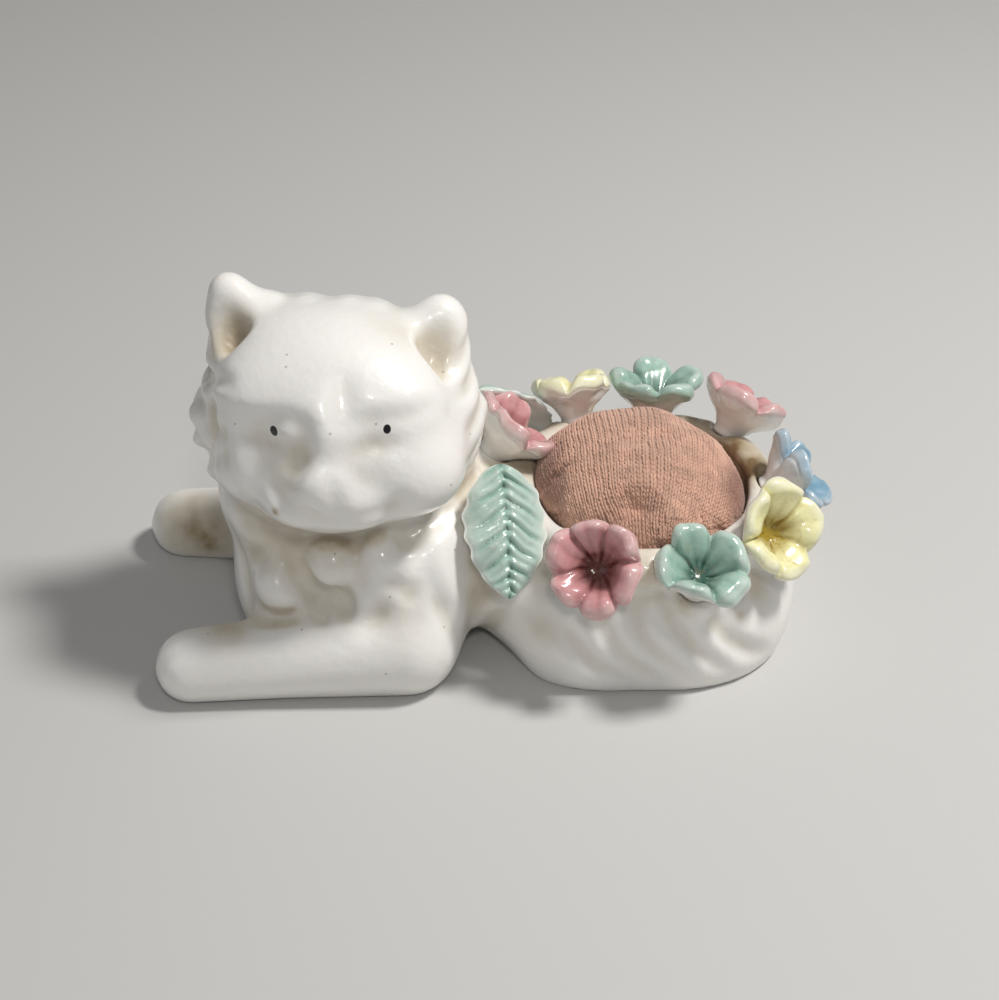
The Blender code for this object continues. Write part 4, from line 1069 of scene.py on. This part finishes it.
def white_glaze(clay):
    """White glaze over the cat: stained, with painted shade in its hollows and painted shadows, with iron
    specks and painted eyes.
    """
    finish = new_finish("white glaze", 0.30)
    places = object_places(finish)
    # Grime, painted shade and painted shadows, read from the vertices
    grime_and_shade = node(finish, "ShaderNodeAttribute", attribute_name="grime_and_shade").outputs["Fac"]
    cloud = node(finish, "ShaderNodeTexNoise", scale=1 / (4 * MM), detail=5.0)
    link(finish, places, cloud.inputs["Vector"])
    uneven = math_node(finish, "MULTIPLY_ADD", cloud.outputs["Fac"], 1.6)
    uneven.node.inputs[2].default_value = 0.2
    amount = math_node(finish, "MULTIPLY", grime_and_shade, uneven)
    colour = ramp(finish, amount, ((0.0, PORCELAIN), (0.30, PALE_GRIME_AND_SHADE), (0.85, DARK_GRIME_AND_SHADE), (1.0, (0.20, 0.13, 0.06))))
    specks = node(finish, "ShaderNodeTexVoronoi", scale=1 / (5.5 * MM))
    link(finish, places, specks.inputs["Vector"])
    tiny = math_node(finish, "LESS_THAN", specks.outputs["Distance"], 0.016)
    colour = mixed(finish, math_node(finish, "MULTIPLY", tiny, 0.25), colour, IRON)
    for centre in clay.seen(SPECKS):
        mark = spot(finish, places, centre, (0.18 * MM, 0.18 * MM, 0.18 * MM), 0.5)
        colour = mixed(finish, math_node(finish, "MULTIPLY", mark, 0.45), colour, IRON)
    for pixel, half_width, half_height in EYES:
        centre = clay.seen([pixel])[0]
        mark = spot(finish, places, centre, (half_width * MM, 1.6 * MM, half_height * MM), 0.08)
        colour = mixed(finish, mark, colour, (0.004, 0.004, 0.005))
    link(finish, colour, shader_of(finish).inputs["Base Color"])
    glassy(finish, 0.15)
    ripple(finish, places, 1.5 * MM, 0.5, 0.16 * MM)
    return finish


def colour_glaze(title):
    """Coloured glaze brushed over bare porcelain: thin at the rims, pooled in the creases."""
    thin, full, deep = GLAZES[title]
    finish = new_finish(f"{title} glaze", 0.20)
    places = object_places(finish)
    coat = node(finish, "ShaderNodeAttribute", attribute_name="coat").outputs["Fac"]
    cloud = node(finish, "ShaderNodeTexNoise", scale=1 / (1.4 * MM), detail=4.0)
    link(finish, places, cloud.inputs["Vector"])
    uneven = math_node(finish, "MULTIPLY_ADD", cloud.outputs["Fac"], 0.24)
    uneven.node.inputs[2].default_value = -0.12
    amount = math_node(finish, "ADD", coat, uneven)
    colour = ramp(finish, amount, ((0.10, PORCELAIN), (0.30, thin), (0.60, full), (0.95, deep)))
    blots = node(finish, "ShaderNodeTexNoise", scale=1 / (0.9 * MM), detail=3.0)
    link(finish, places, blots.inputs["Vector"])
    blotted = math_node(finish, "GREATER_THAN", blots.outputs["Fac"], 0.60)
    inner = math_node(finish, "MULTIPLY", blotted, amount)
    colour = mixed(finish, math_node(finish, "MULTIPLY", inner, 0.22), colour, BURNT)
    link(finish, colour, shader_of(finish).inputs["Base Color"])
    glassy(finish, 0.10)
    ripple(finish, places, 1.6 * MM, 0.35, 0.12 * MM)
    return finish


def knit_cover():
    """Dull knitted cotton with painted shade on the cover between its loops, stained where the glue came
    through and with painted shadows.
    """
    finish = new_finish("knitted cover", 0.95)
    shader = shader_of(finish)
    shader.inputs["Sheen Weight"].default_value = 0.35
    shader.inputs["Sheen Roughness"].default_value = 0.6
    shader.inputs["Specular IOR Level"].default_value = 0.15
    places = object_places(finish)
    cloud = node(finish, "ShaderNodeTexNoise", scale=1 / (3 * MM), detail=6.0, roughness=0.65)
    link(finish, places, cloud.inputs["Vector"])
    light = tuple(1.22 * c for c in KNIT)
    dark = tuple(0.72 * c for c in KNIT)
    colour = ramp(finish, cloud.outputs["Fac"], ((0.30, dark), (0.5, KNIT), (0.72, light)))
    # The cover under the loops is painted darker: painted shade between the loops
    deep = node(finish, "ShaderNodeAttribute", attribute_name="depth").outputs["Fac"]
    colour = mixed(finish, deep, colour, tuple(0.74 * c for c in KNIT))
    # Stains, and painted shadows at the left and along the front edge
    for place, radii, strength in PAD_STAINS_AND_SHADOWS:
        mark = spot(finish, places, [c * MM for c in place], [c * MM for c in radii], 0.55)
        colour = mixed(finish, math_node(finish, "MULTIPLY", mark, strength), colour, KNIT_STAIN_AND_SHADOW)
    link(finish, colour, shader.inputs["Base Color"])
    fibres = node(finish, "ShaderNodeTexNoise", scale=1 / (0.25 * MM), detail=3.0)
    link(finish, places, fibres.inputs["Vector"])
    bump = node(finish, "ShaderNodeBump", strength=0.6, distance=0.08 * MM)
    link(finish, fibres.outputs["Fac"], bump.inputs["Height"])
    link(finish, bump.outputs["Normal"], shader.inputs["Normal"])
    return finish


# Pieces
def make_cat(clay):
    mesh = clay.mesh("glazed_cat")
    places = smooth_vertices(mesh, 2, 0.5)
    # Grime, painted shade and painted shadows, kept on the vertices
    set_numbers(mesh, "grime_and_shade", body_grime_and_shade(clay, places))
    cat = mesh_object("glazed_cat", mesh, white_glaze(clay))
    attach(cat, "root")
    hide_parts("cat_body")


def shell_mesh(name, loops, bottom, throat):
    """A closed skin of loops from a bottom point to a throat point. Gives the mesh."""
    count = loops.shape[1]
    places = np.vstack([[bottom], loops.reshape(-1, 3), [throat]])
    faces = []
    last = len(places) - 1
    for i in range(count):
        j = (i + 1) % count
        faces.append((1 + j, 1 + i, 0))
        top = 1 + (len(loops) - 1) * count
        faces.append((top + i, top + j, last))
        for row in range(len(loops) - 1):
            low = 1 + row * count
            high = low + count
            faces.append((low + i, low + j, high + j, high + i))
    mesh = bpy.data.meshes.new(name)
    mesh.from_pydata(places.tolist(), [], faces)
    return mesh


def bloom_profile(mouth, length):
    """Radius, height, how far the petals shape it, and whether it is inside, from foot to throat."""
    flare = mouth - FOOT_RADIUS
    rim = 0.97 * length
    outside = [
        (0.75 * FOOT_RADIUS, 0.0, 0, 0),
        (FOOT_RADIUS, 0.05 * length, 0, 0),
        (FOOT_RADIUS, 0.20 * length, 0, 0),
        (FOOT_RADIUS + 0.12 * flare, 0.34 * length, 0.1, 0),
        (FOOT_RADIUS + 0.28 * flare, 0.48 * length, 0.25, 0),
        (FOOT_RADIUS + 0.47 * flare, 0.60 * length, 0.45, 0),
        (FOOT_RADIUS + 0.65 * flare, 0.72 * length, 0.65, 0),
        (FOOT_RADIUS + 0.82 * flare, 0.84 * length, 0.85, 0),
        (FOOT_RADIUS + 0.94 * flare, 0.92 * length, 0.95, 0),
    ]
    lip = [
        (0.98 * mouth, rim - 0.02 * PETAL_WALL, 1, 0.1),
        (1.03 * mouth, rim + 0.35 * PETAL_WALL, 1, 0.3),
        (1.01 * mouth, rim + 0.85 * PETAL_WALL, 1, 0.6),
    ]
    inside = [
        (0.94 * mouth, rim + 1.10 * PETAL_WALL, 1, 1),
        (0.82 * mouth, rim + 1.15 * PETAL_WALL, 0.95, 1),
        (0.69 * mouth, rim + 0.80 * PETAL_WALL, 0.85, 1),
        (0.56 * mouth, rim + 0.25 * PETAL_WALL, 0.75, 1),
        (0.45 * mouth, 0.89 * length, 0.6, 1),
        (0.36 * mouth, 0.78 * length, 0.45, 1),
        (0.27 * mouth, 0.68 * length, 0.3, 1),
        (0.14 * mouth, 0.61 * length, 0.12, 1),
    ]
    return smooth_path(outside + lip + inside, 56)


def petal_shares(name, turn):
    """Round a flower: the place across each petal, how full the petal is there, its reach and its lift."""
    notch, _, petals = PETALS[name]
    count = len(petals)
    petal = np.minimum((turn * count).astype(int), count - 1)
    across = (turn * count - petal) * 2 - 1
    full = (1 - np.abs(across) ** 2.6) ** 0.8
    reach = np.array([petals[i][0] for i in petal])
    lift = np.array([petals[i][1] for i in petal]) * MM
    return across, full, 1 - notch * (1 - full) - (1 - reach) * full, lift * full


def make_bloom(name, number, placing, finishes):
    """A pinched flower of thick cupped petals on a short round foot."""
    title, bearing, out, rise, lean, mouth, length, spin = placing
    mouth = mouth * FLOWER_MOUTH
    length = length * FLOWER_LENGTH
    around = 150
    turn = np.arange(around) / around
    across, full, reach_share, lift = petal_shares(name, turn)
    crease = np.exp(-(((1 - np.abs(across)) / 0.20) ** 2))
    fold = np.exp(-((across / 0.22) ** 2))
    angle = 2 * np.pi * (turn + 0.012 * np.sin(4 * np.pi * turn + number))
    loops = []
    coats = []
    for radius, height, effect, inner in bloom_profile(mouth, length):
        effect = min(max(effect, 0), 1)
        inner = min(max(inner, 0), 1)
        reach = radius * (1 - effect * (1 - reach_share))
        z = height - effect * 0.08 * length * (1 - full) + effect**2 * lift
        z = z - inner * effect * (0.70 * MM * crease + 0.14 * MM * fold)
        z = z + inner * effect * 0.75 * MM * (1 - across**2) * math.sin(math.pi * min(effect, 1) * 0.8)
        loops.append(np.stack([reach * np.cos(angle), reach * np.sin(angle), z], -1))
        edge = min(1, (1 - effect) * 8 + 0.35) if inner > 0.9 else 1
        depth = 0.56 + 0.18 * crease + 0.06 * fold + 0.62 * max(0, 0.80 - effect)
        spill = PETALS[name][1] * max(0, effect - 0.3) / 0.7
        coats.append(inner * depth * (0.5 + 0.5 * edge) + (1 - inner) * spill)
    loops = np.array(loops)
    throat = (0, 0, loops[-1][:, 2].mean() - 0.15 * MM)
    mesh = shell_mesh(name, loops, (0, 0, 0), throat)
    places = vertex_places(mesh)
    seed = Vector((number * 7.3, number * 3.1, 0))
    noise.seed_set(PETAL_WAVES)
    free = np.clip(places[:, 2] / (0.5 * length) - 0.6, 0, 1)
    wobble = np.array([noise.noise_vector(Vector(p) / (4.0 * MM) + seed) for p in places])
    places = places + wobble * free[:, None] * 0.8 * MM
    mesh.vertices.foreach_set("co", places.ravel())
    set_numbers(mesh, "coat", np.concatenate([[0], np.array(coats).ravel(), [1.0]]))
    mesh.transform(flower_frame(bearing, out, rise, lean, spin))
    bloom = mesh_object(f"{name}_bloom", mesh, finishes[title])
    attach(bloom, "root")
    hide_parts(f"flower_{name}")


def make_leaf(name, number, placing, finish):
    """A curved blade with a wavy edge and flesh puffed up between its veins, on its stalk."""
    long_steps = 84
    wide_steps = 30
    along = np.linspace(0, 1, long_steps + 1)
    along = along - 0.10 * np.sin(2 * np.pi * along)
    outline = np.sin(np.pi * np.clip(along, 0.0008, 0.995) ** 0.86) ** 0.60
    saw = np.sin(2 * np.pi * along * LEAF_VEINS)
    width = LEAF_WIDTH / 2 * outline * (0.99 + 0.035 * saw)
    across = np.linspace(-1, 1, wide_steps + 1)
    u, t = np.meshgrid(along, across, indexing="ij")
    x = (u - 0.5) * LEAF_LENGTH
    y = t * width[:, None]
    sag = -LEAF_BEND * (2 * u - 1) ** 2 - LEAF_ARCH * np.abs(t) * outline[:, None]
    edge = np.sqrt(np.clip(1 - np.abs(t) ** 5, 0, 1)) * np.sqrt(np.clip(1 - np.abs(2 * u - 1) ** 14, 0, 1))
    spacing = LEAF_LENGTH / LEAF_VEINS
    seed = Vector((number * 5.7, 1.3, 0))
    spots = [Vector((a, b, 0)) for a, b in zip(x.ravel(), y.ravel())]
    wave = np.array([noise.noise(spot / (4 * MM) + seed) for spot in spots]).reshape(x.shape)
    phase = (x - 0.70 * np.abs(y)) / spacing + 0.45 * (y > 0) + 0.16 * wave
    gap = np.abs(phase - np.round(phase)) * spacing
    veins = np.exp(-((gap / (0.48 * MM)) ** 2)) * (1 - np.abs(t) ** 4)
    midrib = np.exp(-((y / (0.55 * MM)) ** 2))
    puff = np.sin(np.pi * np.clip(gap / (spacing / 2), 0, 1)) * (1 - t**2)
    upper = sag + LEAF_WALL / 2 * edge + (0.50 * puff - 0.42 * veins - 0.50 * midrib) * MM * edge
    lower = sag - LEAF_WALL / 2 * edge
    upper = upper + wave * 0.9 * MM * np.abs(t)
    lower = lower + wave * 0.9 * MM * np.abs(t)
    rows = long_steps + 1
    columns = wide_steps + 1
    top = np.stack([x, y, upper], -1).reshape(-1, 3)
    under = np.stack([x, y, lower], -1).reshape(-1, 3)
    index = np.arange(rows * columns).reshape(rows, columns)
    offset = rows * columns
    faces = []
    for i in range(long_steps):
        for j in range(wide_steps):
            a, b, c, d = index[i, j], index[i + 1, j], index[i + 1, j + 1], index[i, j + 1]
            faces.append((a, b, c, d))
            faces.append((offset + d, offset + c, offset + b, offset + a))
    border = [(i, 0) for i in range(rows)]
    border += [(long_steps, j) for j in range(1, columns)]
    border += [(i, wide_steps) for i in range(long_steps - 1, -1, -1)]
    border += [(0, j) for j in range(wide_steps - 1, 0, -1)]
    for (i, j), (k, m) in zip(border, border[1:] + border[:1]):
        faces.append((offset + index[i, j], offset + index[k, m], index[k, m], index[i, j]))
    mesh = bpy.data.meshes.new(name)
    mesh.from_pydata(np.vstack([top, under]).tolist(), [], faces)
    coat = 0.50 + 0.16 * veins + 0.18 * midrib - 0.34 * np.abs(t) ** 6 - 0.08 * puff
    bare = np.where(np.abs(t) > 0.9, 0.25, 0.05)
    form = bmesh.new()
    form.from_mesh(mesh)
    bmesh.ops.recalc_face_normals(form, faces=form.faces)
    form.from_mesh(stalk_mesh(name))
    form.to_mesh(mesh)
    form.free()
    on_stalk = np.zeros(len(mesh.vertices) - 2 * offset)
    set_numbers(mesh, "coat", np.concatenate([coat.ravel(), bare.ravel(), on_stalk]))
    mesh.transform(leaf_frame(*placing))
    leaf = mesh_object(f"{name}_leaf", mesh, finish)
    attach(leaf, "root")
    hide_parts(f"leaf_{name}")


def stalk_mesh(name):
    """The short round stalk under a leaf, in the leaf's own frame."""
    mesh = bpy.data.meshes.new(f"stalk of {name}")
    form = bmesh.new()
    seat = leaf_seat(Matrix.Identity(4))
    length = LEAF_STALK + 0.5 * LEAF_WALL
    bmesh.ops.create_cone(
        form,
        cap_ends=True,
        segments=32,
        radius1=FOOT_RADIUS,
        radius2=0.9 * FOOT_RADIUS,
        depth=length,
        matrix=seat @ Matrix.Translation((0, 0, length / 2)),
    )
    form.to_mesh(mesh)
    form.free()
    return mesh


def make_pad():
    """The stuffed pincushion in its knitted cover."""
    rows = 26
    sides = 96
    turn = 2 * np.pi * np.arange(sides) / sides
    loops = []
    for row in range(1, 2 * rows):
        angle = math.pi * (row / (2 * rows) - 0.5)
        level = PAD_MIDDLE + math.sin(angle) * (PAD_CROWN if angle > 0 else PAD_DEPTH)
        reach = PAD_RADIUS * math.cos(angle)
        loops.append(np.stack([reach * np.cos(turn), reach * np.sin(turn), np.full(sides, level)], -1))
    bottom = (0, 0, PAD_MIDDLE - PAD_DEPTH)
    mesh = shell_mesh("knitted_pad", np.array(loops), bottom, (0, 0, PAD_MIDDLE + PAD_CROWN))
    places = vertex_places(mesh)
    gap = np.linalg.norm(places - np.array(PINCH), axis=1)
    inward = np.array([0, 0, PAD_MIDDLE]) - places
    inward /= np.linalg.norm(inward, axis=1, keepdims=True)
    lumps = np.array([noise.noise(Vector(p) / (7 * MM) + Vector((3.1, 0.7, 1.9))) for p in places])
    dent = 0.22 * MM + 1.5 * MM * np.exp(-((gap / (2.2 * MM)) ** 2))
    dent = dent - 0.5 * MM * np.exp(-(((gap - 4.5 * MM) / (2 * MM)) ** 2))
    for place, spread, swell in SWELLINGS:
        near = np.linalg.norm(places - np.array(place) * MM, axis=1) / (spread * MM)
        dent = dent - swell * MM * np.exp(-(near**2))
    places = places + inward * (dent + STUFFING_REACH + 0.7 * MM * lumps)[:, None]
    mesh.vertices.foreach_set("co", places.ravel())
    held = np.flatnonzero((places[:, 2] < PAD_MIDDLE) | (gap < 1.3 * MM))
    places = stuffed(mesh, held)
    # The core shows between the loops and is painted darker there: painted shade
    set_numbers(mesh, "depth", np.full(len(places), 0.9))
    finish = knit_cover()
    base = mesh_object("knitted_pad_core", mesh, finish)
    tree = BVHTree.FromPolygons([Vector(p) for p in places], [tuple(f.vertices) for f in mesh.polygons])
    pad = joined_pieces("knitted_pad", [base, knit_loops(tree, finish)])
    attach(pad, "root")
    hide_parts("pincushion_pad")


def stuffed(mesh, held):
    """Presses a cover out from inside as its stuffing does, with the held vertices kept in place."""
    start = vertex_places(mesh)
    copy = mesh.copy()
    copy.transform(Matrix.Scale(CLOTH_SCALE, 4))
    cover = bpy.data.objects.new("cover", copy)
    bpy.context.scene.collection.objects.link(cover)
    cover.vertex_groups.new(name="held").add([int(i) for i in held], 1.0, "REPLACE")
    cloth = cover.modifiers.new("stuffing", "CLOTH")
    cloth.settings.quality = 5
    cloth.settings.vertex_group_mass = "held"
    cloth.settings.use_pressure = True
    cloth.settings.uniform_pressure_force = STUFFING_PRESSURE
    cloth.settings.shrink_min = -0.04
    cloth.settings.effector_weights.gravity = 0
    cloth.collision_settings.use_collision = False
    for frame in range(1, CLOTH_FRAMES + 1):
        bpy.context.scene.frame_set(frame)
    settled = cover.evaluated_get(bpy.context.evaluated_depsgraph_get())
    ends = vertex_places(settled.to_mesh()) / CLOTH_SCALE
    settled.to_mesh_clear()
    bpy.data.objects.remove(cover)
    bpy.context.scene.frame_set(1)
    moves = ends - start
    length = np.linalg.norm(moves, axis=1, keepdims=True)
    moves = moves * np.minimum(1, 2 * STUFFING_REACH / np.maximum(length, 1e-9))
    places = start + moves
    mesh.vertices.foreach_set("co", places.ravel())
    return places


def joined_pieces(name, parts):
    """One object from several, with their attributes kept."""
    with bpy.context.temp_override(active_object=parts[0], selected_editable_objects=parts):
        bpy.ops.object.join()
    parts[0].name = name
    return parts[0]


def knit_loops(tree, finish):
    """Every loop of the knitting, laid over the pad in columns that bend in at the pinch."""
    reach = 0.5 * math.pi * math.sqrt((PAD_RADIUS**2 + PAD_CROWN**2) / 2)
    centre = Vector((0, 0, PAD_MIDDLE))
    spots = []
    outs = []
    alongs = []
    columns = int(reach / COLUMN_GAP)
    rows = int(reach / ROW_GAP)
    for column in range(-columns, columns + 1):
        for row in range(-rows, rows + 1):
            flat = Vector((column * COLUMN_GAP, row * ROW_GAP, 0))
            flat.x += 0.8 * MM * noise.noise(Vector((0.16 * column, 0.05 * row, 2.7)))
            flat.y += 0.8 * MM * noise.noise(Vector((0.10 * column, 0.10 * row, 8.3)))
            ends = []
            for shift in (0, 0.3 * ROW_GAP):
                spot_flat = flat + Vector((0, shift, 0))
                toward = spot_flat - Vector((-1.8 * MM, -17.0 * MM, 0))
                near = math.exp(-((toward.length / (6.0 * MM)) ** 2))
                spot_flat.x -= toward.x * 0.30 * near
                angle = spot_flat.length / reach * math.pi / 2
                if angle > math.pi / 2 * 1.02:
                    break
                way = spot_flat.normalized() * math.sin(angle)
                way = Vector((way.x * PAD_RADIUS, way.y * PAD_RADIUS, math.cos(angle) * PAD_CROWN))
                way.normalize()
                start = centre + way * 2 * PAD_RADIUS
                hit, out, _, _ = tree.ray_cast(start, -way)
                if hit is None:
                    break
                ends.append((hit, out))
            if len(ends) < 2:
                continue
            spots.append(ends[0][0])
            outs.append(ends[0][1])
            alongs.append((ends[1][0] - ends[0][0]).normalized())
    holder = bpy.data.meshes.new("knit spots")
    holder.from_pydata(spots, [], [])
    for title, values in (("out", outs), ("along", alongs)):
        attribute = holder.attributes.new(title, "FLOAT_VECTOR", "POINT")
        attribute.data.foreach_set("vector", np.array([tuple(v) for v in values]).ravel())
    carrier = bpy.data.objects.new("knit spots", holder)
    bpy.context.scene.collection.objects.link(carrier)
    stitch = stitch_object()
    group = knit_tree(stitch, finish)
    change = carrier.modifiers.new("knitting", "NODES")
    change.node_group = group
    settings = {"Unevenness": 0.25, "Seed": 4}
    for item in group.interface.items_tree:
        if item.name in settings:
            change[item.identifier] = settings[item.name]
    bpy.context.view_layer.update()
    made = bpy.data.meshes.new_from_object(carrier.evaluated_get(bpy.context.evaluated_depsgraph_get()))
    bpy.data.objects.remove(carrier)
    bpy.data.objects.remove(stitch)
    made.name = "knit loops"
    if not made.materials:
        made.materials.append(finish)
    made.shade_smooth()
    knitting = bpy.data.objects.new("knit loops", made)
    bpy.context.scene.collection.objects.link(knitting)
    # The loops themselves carry none of the painted shade
    set_numbers(made, "depth", np.zeros(len(made.vertices)))
    return knitting


def stitch_object():
    """One loop of the knitting: two slanting legs that meet at its foot."""
    form = bmesh.new()
    for side in (-1, 1):
        start = Vector((-0.42 * ROW_GAP, side * 0.10 * COLUMN_GAP, -0.02 * MM))
        end = Vector((0.80 * ROW_GAP, side * 0.34 * COLUMN_GAP, 0.10 * MM))
        axis = end - start
        place = facing((start + end) / 2, axis, (0, 0, 1))
        sphere = bmesh.ops.create_uvsphere(form, u_segments=5, v_segments=4, radius=1)
        shape = place @ Matrix.Diagonal((0.20 * MM, 0.25 * COLUMN_GAP, axis.length * 0.58, 1))
        bmesh.ops.transform(form, matrix=shape, verts=sphere["verts"])
    mesh = bpy.data.meshes.new("stitch")
    form.to_mesh(mesh)
    form.free()
    made = bpy.data.objects.new("stitch", mesh)
    bpy.context.scene.collection.objects.link(made)
    return made


def knit_tree(stitch, finish):
    """Puts a stitch on every spot, turned along its column, each a little different in size."""
    group = bpy.data.node_groups.new("knitting", "GeometryNodeTree")
    for title, way, kind in (
        ("Geometry", "INPUT", "Geometry"),
        ("Unevenness", "INPUT", "Float"),
        ("Seed", "INPUT", "Int"),
        ("Geometry", "OUTPUT", "Geometry"),
    ):
        group.interface.new_socket(title, in_out=way, socket_type=f"NodeSocket{kind}")
    add = group.nodes.new
    join = group.links.new
    start = add("NodeGroupInput")
    shape = add("GeometryNodeObjectInfo")
    shape.inputs["Object"].default_value = stitch
    turn = add("FunctionNodeAxesToRotation")
    turn.primary_axis = "Z"
    turn.secondary_axis = "X"
    for title, socket in (("out", "Primary Axis"), ("along", "Secondary Axis")):
        read = add("GeometryNodeInputNamedAttribute")
        read.data_type = "FLOAT_VECTOR"
        read.inputs["Name"].default_value = title
        join(read.outputs["Attribute"], turn.inputs[socket])
    size = add("FunctionNodeRandomValue")
    size.data_type = "FLOAT"
    for end, operation in (("Min", "SUBTRACT"), ("Max", "ADD")):
        limit = add("ShaderNodeMath")
        limit.operation = operation
        limit.inputs[0].default_value = 1
        join(start.outputs["Unevenness"], limit.inputs[1])
        join(limit.outputs[0], next(s for s in size.inputs if s.name == end and s.type == "VALUE"))
    join(start.outputs["Seed"], size.inputs["Seed"])
    place = add("GeometryNodeInstanceOnPoints")
    join(start.outputs["Geometry"], place.inputs["Points"])
    join(shape.outputs["Geometry"], place.inputs["Instance"])
    join(turn.outputs["Rotation"], place.inputs["Rotation"])
    join(next(s for s in size.outputs if s.type == "VALUE" and s.enabled), place.inputs["Scale"])
    real = add("GeometryNodeRealizeInstances")
    join(place.outputs["Instances"], real.inputs["Geometry"])
    coat = add("GeometryNodeSetMaterial")
    coat.inputs["Material"].default_value = finish
    join(real.outputs["Geometry"], coat.inputs["Geometry"])
    join(coat.outputs["Geometry"], add("NodeGroupOutput").inputs["Geometry"])
    return group


# Setting
def make_floor():
    """A plain pale floor that curves up far behind."""
    form = bmesh.new()
    half = 1.2
    profile = [(-half, 0.0), (0.5, 0.0)]
    for angle in np.linspace(0.15, math.pi / 2, 10):
        profile.append((0.5 + 0.4 * math.sin(angle), 0.4 - 0.4 * math.cos(angle)))
    profile.append((0.9, 1.6))
    rows = [[form.verts.new((x, y, z)) for x in (-half, half)] for y, z in profile]
    for lower, upper in zip(rows, rows[1:]):
        form.faces.new((lower[0], lower[1], upper[1], upper[0]))
    mesh = bpy.data.meshes.new("floor")
    form.to_mesh(mesh)
    form.free()
    finish = new_finish("floor", 0.75)
    shader_of(finish).inputs["Base Color"].default_value = (*FLOOR, 1)
    floor = mesh_object("floor", mesh, finish)


def make_light(name, place, size, power, colour):
    """A soft square lamp at place that looks at the cat."""
    data = bpy.data.lights.new(name, "AREA")
    data.size = size
    data.energy = power
    data.color = colour
    lamp = bpy.data.objects.new(name, data)
    bpy.context.scene.collection.objects.link(lamp)
    lamp.location = place
    lamp.rotation_mode = "QUATERNION"
    lamp.rotation_quaternion = (Vector(place) - CAMERA_AIM).to_track_quat("Z", "Y")


def make_lights():
    make_light("key", (0.24, 0.00, 0.50), 0.09, 2.6, (1.0, 0.98, 0.955))
    make_light("front", (0.02, -0.42, 0.46), 0.07, 0.50, (1.0, 0.98, 0.96))
    make_light("side", (-0.50, -0.30, 0.30), 0.40, 0.18, (0.95, 0.97, 1.0))
    world = bpy.data.worlds.new("studio")
    bpy.context.scene.world = world
    world.use_nodes = True
    world.node_tree.nodes["Background"].inputs["Color"].default_value = (0.98, 0.985, 1.0, 1)
    world.node_tree.nodes["Background"].inputs["Strength"].default_value = 0.21


def make_camera():
    data = bpy.data.cameras.new("camera")
    data.lens = CAMERA_LENS
    data.sensor_width = CAMERA_SENSOR
    data.clip_start = 0.01
    camera = bpy.data.objects.new("camera", data)
    bpy.context.scene.collection.objects.link(camera)
    camera.location = camera_place()
    camera.rotation_mode = "QUATERNION"
    camera.rotation_quaternion = camera_back().to_track_quat("Z", "Y")
    bpy.context.scene.camera = camera
    bpy.context.scene.view_settings.view_transform = "Standard"


make_camera()
cat_clay = sculpt_cat()
make_cat(cat_clay)
colour_finishes = {title: colour_glaze(title) for title in GLAZES}
for number, (name, placing) in enumerate(FLOWERS.items()):
    make_bloom(name, number, placing, colour_finishes)
for number, (name, placing) in enumerate(LEAVES.items()):
    make_leaf(name, number, placing, colour_finishes["sage"])
make_pad()
make_floor()
make_lights()
